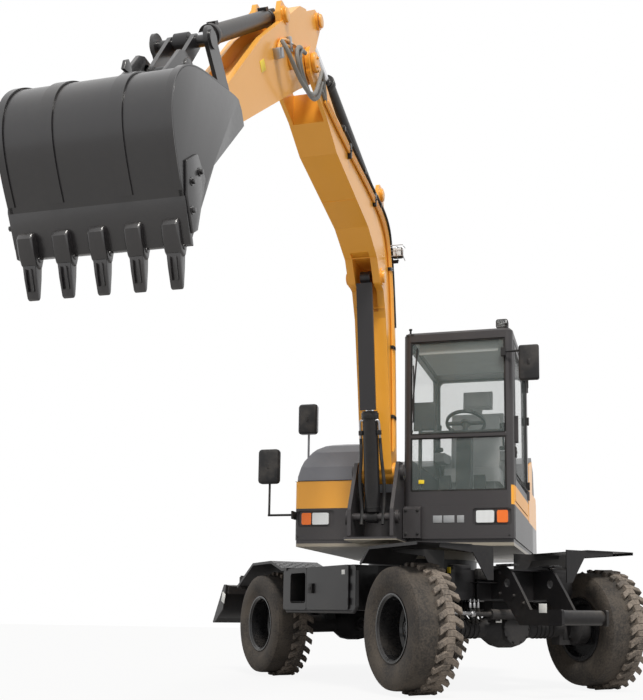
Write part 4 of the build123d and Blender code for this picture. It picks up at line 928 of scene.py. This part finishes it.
def buildPipes():
    runs = []
    clamps = []
    x = boomSide + boomPipes["out"]
    for shift in boomPipes["shifts"]:
        points = [(x, y + shift * 0.9, z + shift * 0.5) for y, z in boomPipes["line"]]
        runs.append(hose(points, boomPipes["radius"]))
    for y, z, along in boomPipes["clamps"]:
        clamps.append(clampAt((x, y, z), along, 0.110))
    settle(runs, "boom_pipes", "orange_paint", "boom")
    settle(clamps, "boom_pipe_clamps", "dark_paint", "boom")
    tubes = []
    for x in (boomSide + 0.006, boomSide - 0.030):
        tubes.append(hose([(x, y - 0.004, z + 0.012) for y, z in topTubes["line"]], topTubes["radius"]))
    settle(tubes, "boom_top_tubes", "black_plastic", "boom")
    saddles = []
    for y, z in topTubes["saddles"]:
        saddles.append(block((0.066, 0.034, 0.036), (boomSide - 0.016, y, z), 0.004))
        saddles.append(hexBolt((boomSide - 0.012, y, z + 0.018), (0, 0, 1), 0.008))
    settle(saddles, "boom_top_saddles", "dark_paint", "boom")
    print("boom pipes built")


def buildBoomCaps():
    caps = []
    foot, eye = cylinderEnds["arm"][0], cylinderEnds["boom"][1]
    for side in (-1, 1):
        caps.append(acrossBoom(armPivot, side * 0.135, side * 0.162, 0.062, 36, 0.005))
        caps.append(acrossBoom(eye, side * 0.135, side * 0.162, 0.050, 32, 0.005))
        for lift in (-0.030, 0.030):
            spot = (boomX + side * 0.162, armPivot[0], armPivot[1] + lift)
            caps.append(hexBolt(spot, (side, 0, 0), 0.011))
    for side in (-1, 1):
        caps.append(acrossBoom(foot, side * 0.103, side * 0.117, 0.044, 28, 0.004))
    settle(caps, "boom_pin_caps", "orange_paint", "boom")
    seams = [acrossBoom((y - 0.001, z), -0.130, 0.130, 0.004, 8, 0.0) for y, z in boomWelds]
    settle(seams, "boom_welds", "orange_paint", "boom")
    print("boom caps built")


boomLamp = {"x": 0.052, "z": 3.715, "guardHalf": 0.054, "wire": 0.0035}


def buildBoomLamp():
    x, z, wire = boomLamp["x"], boomLamp["z"], boomLamp["wire"]
    shell = block((0.086, 0.060, 0.086), (x, -1.455, z), 0.010)
    foot = block((0.070, 0.014, 0.030), (0.016, -1.430, 3.650), 0.003)
    settle([shell, foot], "boom_lamp", "black_plastic", "boom")
    lens = block((0.070, 0.006, 0.070), (x, -1.487, z), 0.002)
    settle(lens, "boom_lamp_lens", "clear_lens", "boom")
    guard = []
    hoop = ((-1.410, 3.660), (-1.512, 3.664), (-1.520, 3.715), (-1.512, 3.768), (-1.410, 3.774))
    for at in (x - boomLamp["guardHalf"], x, x + boomLamp["guardHalf"]):
        guard.append(hose([(at, *spot) for spot in hoop], wire, 4))
    for height in (3.668, 3.715, 3.764):
        guard.append(rod((-0.004, -1.517, height), (0.108, -1.517, height), wire, 8))
    settle(guard, "boom_lamp_guard", "steel_grey", "boom")
    print("boom lamp built")


# each cap: (y, z), where it starts and ends from the boom's middle plane, radius, sides, edge
armCaps = (
    (bucket["pin"], 0.080, 0.086, 0.060, 32, 0.002),
    ((-5.160, 3.050), 0.150, 0.162, 0.034, 28, 0.003),
    (cylinderEnds["arm"][1], 0.119, 0.133, 0.044, 28, 0.004),
    (cylinderEnds["bucket"][0], 0.106, 0.120, 0.042, 28, 0.004),
    ((-4.147, 3.940), 0.100, 0.116, 0.050, 32, 0.005),
    ((-4.147, 3.940), 0.114, 0.122, 0.030, 24, 0.003),
)


def buildArm():
    caps = []
    for side in (-1, 1):
        for spot, near, far, radius, sides, edge in armCaps:
            caps.append(acrossBoom(spot, side * near, side * far, radius, sides, edge))
    settle(caps, "arm_pin_caps", "orange_paint", "arm")
    pipes = []
    for shift in (0.0, 0.034):
        pipes.append(hose([(armSide + 0.012, y, z + shift) for y, z in armPipeLine], 0.009))
    settle(pipes, "arm_pipes", "orange_paint", "arm")
    clamps = [clampAt((armSide + 0.012, -4.200, 4.018), (1, 0.5), 0.085)]
    clamps.append(block((0.046, 0.080, 0.060), (armSide + 0.020, -4.420, 3.830), 0.006, (0.6, 0, 0)))
    settle(clamps, "arm_valve", "steel_grey", "arm")
    label = block((0.002, 0.085, 0.060), (armSide + 0.001, -4.620, 3.640), 0.0005, (0.70, 0, 0))
    settle(label, "arm_blank_label", "blank_yellow", "arm")
    print("arm trim built")


# loops between the boom's nose and the arm, each with its swell to the side and its (y, z) points
jointLoops = (
    (
        0.010,
        (-3.520, 4.005), (-3.640, 4.060), (-3.700, 3.940), (-3.850, 3.840),
        (-4.020, 3.880), (-4.120, 3.960), (-4.080, 4.060), (-3.980, 4.085),
    ),
    (
        0.036,
        (-3.520, 4.020), (-3.660, 4.100), (-3.740, 3.960), (-3.900, 3.800),
        (-4.110, 3.800), (-4.240, 3.900), (-4.180, 4.020), (-4.060, 4.070),
    ),
    (
        0.060,
        (-3.530, 4.040), (-3.690, 4.150), (-3.800, 4.020), (-3.960, 3.790),
        (-4.200, 3.740), (-4.380, 3.800), (-4.430, 3.860), (-4.425, 3.900),
    ),
)


def buildJointHoses():
    # the loops are laid in this pose and are not set on a body
    hoses = []
    for swell, *line in jointLoops:
        points = []
        for i, (y, z) in enumerate(line):
            points.append((boomSide + 0.006 + swell * sin(pi * i / (len(line) - 1)), y, z))
        hoses.append(hose(points, 0.013, 6))
    made = settle(hoses, "arm_joint_hoses", "hose_grey", None, upperAt)
    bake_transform(made)
    print("joint hoses built")


def cylinderPlace(name):
    foot, eye = cylinderEnds[name][:2]
    turn = atan2(eye[1] - foot[1], eye[0] - foot[0])
    return Matrix.Translation((boomX, foot[0], foot[1])) @ Matrix.Rotation(turn, 4, "X")


# tube and hose of the boom cylinder as (x, y, z) on its +x side, in the cylinder's own frame
boomCylinder = {
    "tube": (
        (0.050, 0.800, 0.034), (0.074, 0.810, 0.032), (0.082, 0.780, 0.028),
        (0.082, 0.700, 0.020), (0.082, 0.640, 0.010),
    ),
    "hose": (
        (0.082, 0.610, 0.008), (0.084, 0.500, 0.0), (0.100, 0.360, 0.004), (0.104, 0.220, -0.004),
        (0.096, 0.120, -0.010), (0.090, 0.030, 0.010), (0.090, -0.060, 0.050),
    ),
}


def buildCylinderTrim():
    # in each cylinder's own frame y runs from the foot to the eye
    for name, (_, _, r, end) in cylinderEnds.items():
        at = upperAt @ cylinderPlace(name)
        barrel = name + "_cylinder_barrel"
        rings = [rod((0, end - 0.064, 0), (0, end - 0.014, 0), r + 0.0085, 40, 0.003)]
        rings.append(rod((0, 0.075, 0), (0, 0.086, 0), r + 0.003, 40, 0.003))
        for i in range(8):
            turn = 2 * pi * i / 8
            x, z = (r - 0.006) * cos(turn), (r - 0.006) * sin(turn)
            rings.append(rod((x, end - 0.017, z), (x, end - 0.006, z), 0.006, 10))
        settle(rings, name + "_cylinder_gland", "dark_paint", barrel, at)
        wiper = rod((0, end - 0.018, 0), (0, end - 0.008, 0), r * 0.72, 36, 0.002)
        settle(wiper, name + "_cylinder_wiper", "steel_grey", barrel, at)
    at = upperAt @ cylinderPlace("boom")
    tubes = []
    clamps = []
    hoses = []
    for side in (-1, 1):
        tubes.append(hose([(side * x, y, z) for x, y, z in boomCylinder["tube"]], 0.0095))
        clamps.append(block((0.034, 0.040, 0.036), (side * 0.078, 0.700, 0.020), 0.004))
        clamps.append(rod((side * 0.082, 0.655, 0.012), (side * 0.082, 0.600, 0.006), 0.014, 6, 0.001))
        hoses.append(hose([(side * x, y, z) for x, y, z in boomCylinder["hose"]], 0.0145, 6))
    settle(tubes, "boom_cylinder_tubes", "steel_grey", "boom_cylinder_barrel", at)
    settle(clamps, "boom_cylinder_clamps", "dark_paint", "boom_cylinder_barrel", at)
    made = settle(hoses, "boom_cylinder_hoses", "black_plastic", None, at)
    end = at @ Vector((0, 0.420, 0))
    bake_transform(made)
    print("cylinder trim built")


buildPipes()
buildBoomCaps()
buildBoomLamp()
buildArm()
buildJointHoses()
buildCylinderTrim()


# cab: seals, wiper, rails, lining, seat pads, levers, screen and the small lamps on its roof

cab = {
    "glassY": -1.084,
    "low": 0.098,
    "high": 0.920,
    "panes": ((1.696, 2.156), (2.190, 3.014)),
    "roofInside": 3.034,
    "middle": 0.509,
    "seatX": 0.529,
    "seatY": -0.150,
    "floor": 1.620,
    "doorX": 0.986,
    "doorMiddle": -0.340,
    "hingeAt": (1.900, 2.550, 2.930),
    "lockAt": (-0.964, 2.030),
}


def frameStrip(low, high, bottom, top, y, wide, thick):
    # a rubber seal round a pane that faces forward
    pieces = []
    for z in (bottom, top):
        pieces.append(block((high - low, thick, wide), ((low + high) / 2, y, z), 0.003))
    for x in (low, high):
        pieces.append(block((wide, thick, top - bottom), (x, y, (bottom + top) / 2), 0.003))
    return pieces


def buildCab():
    c = cab
    seals = []
    for pane in c["panes"]:
        seals += frameStrip(c["low"] + 0.004, c["high"] - 0.004, *pane, c["glassY"] - 0.004, 0.018, 0.008)
    settle(seals, "cab_seals", "black_rubber", "upper")
    grip = ((0.118, -1.088, 2.300), (0.124, -1.094, 2.330), (0.124, -1.094, 2.780), (0.118, -1.088, 2.810))
    inside = ((0.150, -0.960, 2.232), (0.500, -0.965, 2.232), (0.870, -0.960, 2.232))
    settle([hose(grip, 0.007), hose(inside, 0.011)], "cab_rails", "black_plastic", "upper")
    wiper = [
        rod((0.100, -1.094, 2.222), (0.100, -1.086, 2.222), 0.018, 20, 0.003),
        rod((0.100, -1.095, 2.222), (0.126, -1.095, 2.640), 0.005, 10),
        rod((0.112, -1.093, 2.420), (0.156, -1.093, 2.960), 0.007, 8),
    ]
    settle(wiper, "cab_wiper", "black_plastic", "upper")
    roof, middle = c["roofInside"], c["middle"]
    lining = [
        block((0.780, 1.180, 0.010), (middle, -0.420, roof - 0.006), 0.003),
        block((0.700, 0.020, 0.120), (middle, -1.020, roof - 0.066), 0.006, (radians(-18), 0, 0)),
    ]
    settle(lining, "cab_lining", "lining_grey", "upper")
    studs = []
    for x in (0.088, 0.930):
        studs.append(rod((x, -1.060, 3.104), (x, -1.060, 3.140), 0.009, 12, 0.001))
        studs.append(rod((x, -1.060, 3.138), (x, -1.060, 3.152), 0.015, 16, 0.003))
    for x in (0.070, 0.110):
        studs.append(block((0.030, 0.012, 0.016), (x, -1.094, 3.085), 0.003))
    settle(studs, "cab_roof_studs", "black_plastic", "upper")
    glow = block((0.088, 0.006, 0.066), (0.890, -1.034, 3.158), 0.003)
    settle(glow, "roof_lamp_lens", "clear_lens", "upper")
    hinges = []
    for z in c["hingeAt"]:
        hinges.append(rod((0.998, 0.340, z - 0.040), (0.998, 0.340, z + 0.040), 0.012, 16, 0.002))
    settle(hinges, "cab_door_hinge_caps", "black_plastic", "upper")
    door = c["doorX"]
    edge = []
    for y in (-0.945, 0.265):
        edge.append(block((0.006, 0.020, 1.180), (door, y, 2.430), 0.002))
    for z in (1.850, 3.005):
        edge.append(block((0.006, 1.180, 0.020), (door, c["doorMiddle"], z), 0.002))
    settle(edge, "door_seals", "black_rubber", "cab_door")
    lock = [block((0.012, 0.060, 0.090), (door + 0.006, *c["lockAt"]), 0.004)]
    lock.append(rod((door + 0.004, *c["lockAt"]), (door + 0.016, *c["lockAt"]), 0.014, 20, 0.002))
    settle(lock, "door_lock", "black_plastic", "cab_door")
    print("cab trim built")


def cushion(size, spot, turn=(0, 0, 0), crown=0.018):
    # a closed, crowned pad: a block, subdivided, whose middle is pushed out, then bevelled
    pad = block(size, (0, 0, 0), 0.0)
    bpy.ops.object.mode_set(mode="EDIT")
    bpy.ops.mesh.select_all(action="SELECT")
    bpy.ops.mesh.subdivide(number_cuts=7)
    bpy.ops.object.mode_set(mode="OBJECT")
    for corner in pad.data.vertices:
        x, y, z = [2 * corner.co[k] / size[k] for k in range(3)]
        lift = (1 - x * x) * (1 - y * y) if abs(z) > 0.99 else 0
        corner.co.z += crown * lift * (1 if z > 0 else -0.2)
        pinch = 1 - 0.05 * (x * x) * (y * y)
        corner.co.x *= pinch
        corner.co.y *= pinch
    bevelled(pad, 0.012, 3)
    pad.rotation_euler = turn
    pad.location = spot
    return pad


# each pad: its size, its place behind and above the seat's point, and its lean in degrees
seatPads = {
    "seat_cushion": ((0.480, 0.470, 0.080), 0.0, 0.335, 0),
    "seat_back_pad": ((0.460, 0.560, 0.060), 0.200, 0.680, 82),
    "seat_headrest_pad": ((0.250, 0.150, 0.050), 0.258, 1.120, 81),
}


def buildSeat():
    x, y, z = cab["seatX"], cab["seatY"], cab["floor"]
    for name, (size, back, up, lean) in seatPads.items():
        pad = cushion(size, (x, y + back, z + up), (radians(lean), 0, 0))
        pad = settle(pad, name, "seat_fabric", "upper", angle=60)
    levers = []
    for side in (-1, 1):
        at = x + side * 0.300
        neck = ((at, y - 0.230, z + 0.540), (at, y - 0.250, z + 0.620), (at, y - 0.262, z + 0.680))
        grip = ((at, y - 0.262, z + 0.670), (at - side * 0.010, y - 0.276, z + 0.780))
        levers.append(hose(neck, 0.009))
        levers.append(rod(*grip, 0.024, 20, 0.010))
        levers.append(rod((at, y - 0.228, z + 0.530), (at, y - 0.236, z + 0.570), 0.040, 20, 0.014))
    settle(levers, "cab_levers", "black_plastic", "upper")
    screen = block((0.160, 0.004, 0.110), (0.184, -0.872, 2.400), 0.002, (radians(-6), 0, 0))
    settle(screen, "cab_screen", "blank_grey", "upper")
    tag = block((0.050, 0.003, 0.034), (0.190, -1.086, 1.776), 0.001)
    settle(tag, "cab_blank_tag", "blank_yellow", "upper")
    print("seat and levers built")


# upper structure's front: lamp dividers, blank plates, vent slats, bolts and hood trim

front = {
    "lampZ": 1.468,
    "dividers": (-0.790, 0.826),
    "faceY": -1.099,
    "plates": ((0.332, 0.078), (0.430, 0.094), (0.530, 0.060)),
    "bigBolts": ((0.076, 1.320), (0.176, 1.320), (0.076, 1.520), (0.176, 1.520)),
    "lowBolts": (-0.920, -0.420, 0.100, 0.940),
    "highBolts": (-0.920, -0.420, 0.940),
}


def buildFront():
    f = front
    rims = [block((0.008, 0.010, 0.106), (x, -1.104, f["lampZ"]), 0.002) for x in f["dividers"]]
    settle(rims, "headlamp_bezels", "black_plastic", "upper")
    plates = [block((wide, 0.003, 0.062), (x, f["faceY"], 1.450), 0.001) for x, wide in f["plates"]]
    settle(plates, "front_blank_plates", "blank_grey", "upper")
    slats = []
    for i in range(3):
        slats.append(block((0.014, 0.008, 0.104), (-0.477 + i * 0.022, f["faceY"], 1.466), 0.003))
    settle(slats, "front_vents", "black_rubber", "upper")
    bolts = [hexBolt((x, -1.197, z), (0, -1, 0), 0.014) for x, z in f["bigBolts"]]
    for z, row in ((1.310, f["lowBolts"]), (1.530, f["highBolts"])):
        for x in row:
            bolts.append(hexBolt((x, -1.097, z), (0, -1, 0), 0.008))
    settle(bolts, "front_bolts", "cast_iron", "upper")
    hoodSeams = [
        block((0.520, 0.004, 0.006), (-0.665, f["faceY"], 1.806), 0.001),
        block((0.004, 1.580, 0.006), (-0.951, -0.290, 1.806), 0.001),
    ]
    settle(hoodSeams, "hood_seams", "black_rubber", "upper")
    latch = [block((0.004, 0.120, 0.034), (-0.935, -0.600, 1.860), 0.002)]
    latch.append(rod((-0.934, -0.560, 1.860), (-0.940, -0.560, 1.860), 0.010, 16, 0.001))
    settle(latch, "hood_latch", "black_plastic", "hood")
    print("front trim built")


# each mirror: body, the middle of its back, width, height, and whether its front is domed
mirrors = {
    "mirror_cab": ("upper", 1.126, -1.139, 2.765, 0.156, 0.290, False),
    "mirror_low": ("upper", -1.175, -1.145, 1.935, 0.196, 0.310, True),
    "mirror_hood": ("hood", -0.890, -0.907, 2.400, 0.180, 0.280, True),
}


def mirrorShell(x, y, z, width, height, domed):
    if not domed:
        return block((width + 0.014, 0.060, height + 0.014), (x, y, z), 0.018, steps=4)
    shell = block((width - 0.006, 0.040, height - 0.006), (x, y, z), 0)
    pickFaces(shell, 1, -1)
    bpy.ops.mesh.inset(thickness=0.030, depth=0.010)
    bpy.ops.object.mode_set(mode="OBJECT")
    return bevelled(shell, 0.018, 4)


def buildMirrors():
    for name, (body, x, y, z, width, height, domed) in mirrors.items():
        shell = mirrorShell(x, y - 0.024, z, width, height, domed)
        settle(shell, name + "_housing", "black_plastic", body, angle=50)
        glass = block((width - 0.026, 0.003, height - 0.026), (x, y + 0.001, z), 0.001)
        settle(glass, name + "_glass", "mirror_glass", body)
        knob = [block((0.040, 0.030, 0.070), (x, y - 0.040, z), 0.008)]
        knob.append(rod((x, y - 0.052, z - 0.020), (x, y - 0.052, z + 0.020), 0.010, 14, 0.002))
        settle(knob, name + "_clamp", "black_plastic", body)
    print("mirrors built")


# undercarriage: bolts, castings, lamp box, blank labels, hoses, ribs and the tie rod

chassis = {
    "sideBolts": ((-1.300, 0.960), (-1.300, 0.850), (-1.360, 0.960), (-1.360, 0.850)),
    "plateBolts": ((-1.520, 0.820), (-1.520, 0.990), (-1.700, 0.800), (-1.820, 0.740)),
    "fittings": (-0.470, -0.430, -0.390),
    "hoses": (-0.470, -0.430, -0.390, 0.400, 0.440),
    "fittingY": -1.430,
    "axleZ": 0.530,
    "rodY": -1.445,
    "rodZ": 0.650,
    "labels": (
        ("bracket_blank_label", "blank_white", (0.003, 0.090, 0.070), (-0.2365, -2.050, 0.700)),
        ("axle_blank_plate", "blank_white", (0.060, 0.003, 0.036), (-0.180, -1.425, 0.600)),
        ("cabinet_blank_label", "blank_white", (0.003, 0.060, 0.040), (-1.1125, -0.450, 1.000)),
        ("yellow_blank_tag", "blank_yellow", (0.003, 0.050, 0.050), (-0.6565, -1.400, 1.000)),
    ),
}


def bracketHose(i, x):
    line = (
        (x, -1.430, 0.700),
        (x + 0.010, -1.440, 0.620),
        (x + 0.060, -1.400, 0.560 + 0.010 * i),
        (x + 0.020, -1.300, 0.640),
        (x * 0.8, -1.160, 0.760),
    )
    return hose(line, 0.011)


def buildChassis():
    c = chassis
    bolts = []
    for side in (-1, 1):
        for spots, x, size in ((c["sideBolts"], 0.652, 0.015), (c["plateBolts"], 0.2345, 0.014)):
            for spot in spots:
                bolts.append(hexBolt((side * x, *spot), (side, 0, 0), size))
    settle(bolts, "bracket_bolts", "cast_iron", "undercarriage")
    castings = []
    for side in (-1, 1):
        castings.append(block((0.230, 0.110, 0.190), (side * 0.530, -1.345, 0.905), 0.020, steps=3))
        castings.append(block((0.180, 0.090, 0.060), (side * 0.520, -1.350, 1.020), 0.014))
        castings.append(rod((side * 0.640, -1.330, 0.905), (side * 0.656, -1.330, 0.905), 0.042, 28, 0.005))
    settle(castings, "corner_castings", "dark_paint", "undercarriage")
    lampBox = [block((0.150, 0.060, 0.090), (-0.330, -1.425, 0.975), 0.010)]
    lampBox.append(block((0.120, 0.010, 0.064), (-0.330, -1.458, 0.975), 0.004))
    settle(lampBox, "bracket_box", "black_plastic", "undercarriage")
    shelf = block((0.210, 0.110, 0.008), (-0.330, -1.440, 0.905), 0.002)
    settle(shelf, "bracket_shelf", "dark_paint", "undercarriage")
    pads = [block((0.060, 0.155, 0.020), (side * 0.222, -1.612, 1.046), 0.004) for side in (-1, 1)]
    settle(pads, "bracket_pads", "dark_paint", "undercarriage")
    for name, finish, size, spot in c["labels"]:
        settle(block(size, spot, 0.0008), name, finish, "undercarriage")
    fittings = []
    y = c["fittingY"]
    for x in c["fittings"]:
        fittings.append(rod((x, y, 0.700), (x, y, 0.740), 0.014, 6, 0.001))
        fittings.append(rod((x, y, 0.740), (x, y, 0.770), 0.009, 12))
    settle(fittings, "bracket_fittings", "steel_grey", "undercarriage")
    runs = [bracketHose(i, x) for i, x in enumerate(c["hoses"])]
    settle(runs, "bracket_hoses", "black_rubber", "undercarriage")
    print("chassis trim built")


def buildAxleTrim():
    axleZ, rodY, rodZ = chassis["axleZ"], chassis["rodY"], chassis["rodZ"]
    ribs = []
    for side in (-1, 1):
        for i in range(5):
            at = side * (0.300 + i * 0.045)
            ribs.append(rod((at, -1.259, axleZ), (at + side * 0.012, -1.259, axleZ), 0.084, 32, 0.003))
        for i in range(10):
            turn = 2 * pi * i / 10
            ribs.append(hexBolt((0.130 * cos(turn), -1.431, axleZ + 0.112 * sin(turn)), (0, -1, 0), 0.010))
    settle(ribs, "axle_ribs", "cast_iron", "undercarriage")
    for side, corner, studX, studY in ((-1, "right", -0.688, -1.443), (1, "left", 0.660, -1.446)):
        inner = (side * 0.440, rodY, rodZ)
        sleeve = (side * 0.480, rodY, rodZ)
        ends = [rod(inner, (studX, studY, 0.668), 0.016, 16, 0.002), rod(inner, sleeve, 0.026, 24, 0.006)]
        made = settle(ends, "tie_rod_" + corner, "steel_grey", None, chassisAt)
        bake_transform(made)
        ball = rod((studX, studY, 0.645), (studX, studY, 0.692), 0.027, 24, 0.008)
        settle(ball, "tie_rod_end_" + corner, "cast_iron", "knuckle_" + corner)
    print("axle trim built")


def fenderTread():
    # small raised bars in a staggered pattern on the fenders of both sides
    bars = []
    for side in (-1, 1):
        for i in range(7):
            for j in range(5):
                x = side * (0.700 + j * 0.090 + (0.045 if i % 2 else 0))
                spot = (x, 0.780 + i * 0.040, 1.082 + i * 0.0105)
                turn = radians(45 if (i + j) % 2 else -45)
                bars.append(block((0.030, 0.008, 0.004), spot, 0.001, (radians(14), 0, turn)))
    return bars


def buildCabinets():
    latch = [
        block((0.008, 0.098, 0.086), (-1.130, 0.168, 0.868), 0.006),
        block((0.012, 0.060, 0.030), (-1.134, 0.168, 0.868), 0.006),
        rod((-1.130, 0.130, 0.840), (-1.138, 0.130, 0.840), 0.009, 14, 0.001),
    ]
    settle(latch, "cabinet_latch", "black_plastic", "cabinet_door")
    bars = []
    for i in range(9):
        for lean in (45, -45):
            spot = (-1.030, 0.330 + i * 0.031, 0.744)
            bars.append(block((0.160, 0.006, 0.014), spot, 0.002, (radians(lean), 0, 0)))
    settle(bars, "step_treads", "dark_paint", "undercarriage")
    settle(fenderTread(), "fender_treads", "steel_grey", "undercarriage")
    lamps = []
    lenses = []
    for side in (-1, 1):
        lamps.append(block((0.160, 0.010, 0.150), (side * 1.000, 1.950, 0.960), 0.006))
        lamps.append(block((0.150, 0.050, 0.090), (side * 1.000, 1.975, 0.980), 0.010))
        lenses.append(block((0.130, 0.008, 0.070), (side * 1.000, 2.003, 0.980), 0.004))
    settle(lamps, "tail_lamp_brackets", "black_plastic", "undercarriage")
    settle(lenses, "tail_lamp_lenses", "amber_lens", "undercarriage")
    print("cabinet trim built")


def buildBladeTrim():
    marks = []
    for side in (-1, 1):
        spot = (side * 1.1225, 2.330, 0.800)
        marks.append(block((0.004, 0.090, 0.110), spot, 0.001, (radians(20), 0, 0)))
    settle(marks, "blade_blank_stickers", "blank_white", "blade")
    bolts = []
    for i in range(9):
        bolts.append(hexBolt((-1.000 + i * 0.250, 2.520, 0.640), (0, -0.5, 0.8), 0.016))
    settle(bolts, "blade_edge_bolts", "cast_iron", "blade")
    print("blade trim built")


buildCab()
buildSeat()
buildFront()
buildMirrors()
buildChassis()
buildAxleTrim()
buildCabinets()
buildBladeTrim()

setCamera()
buildRoom()
print("camera, room and light set")
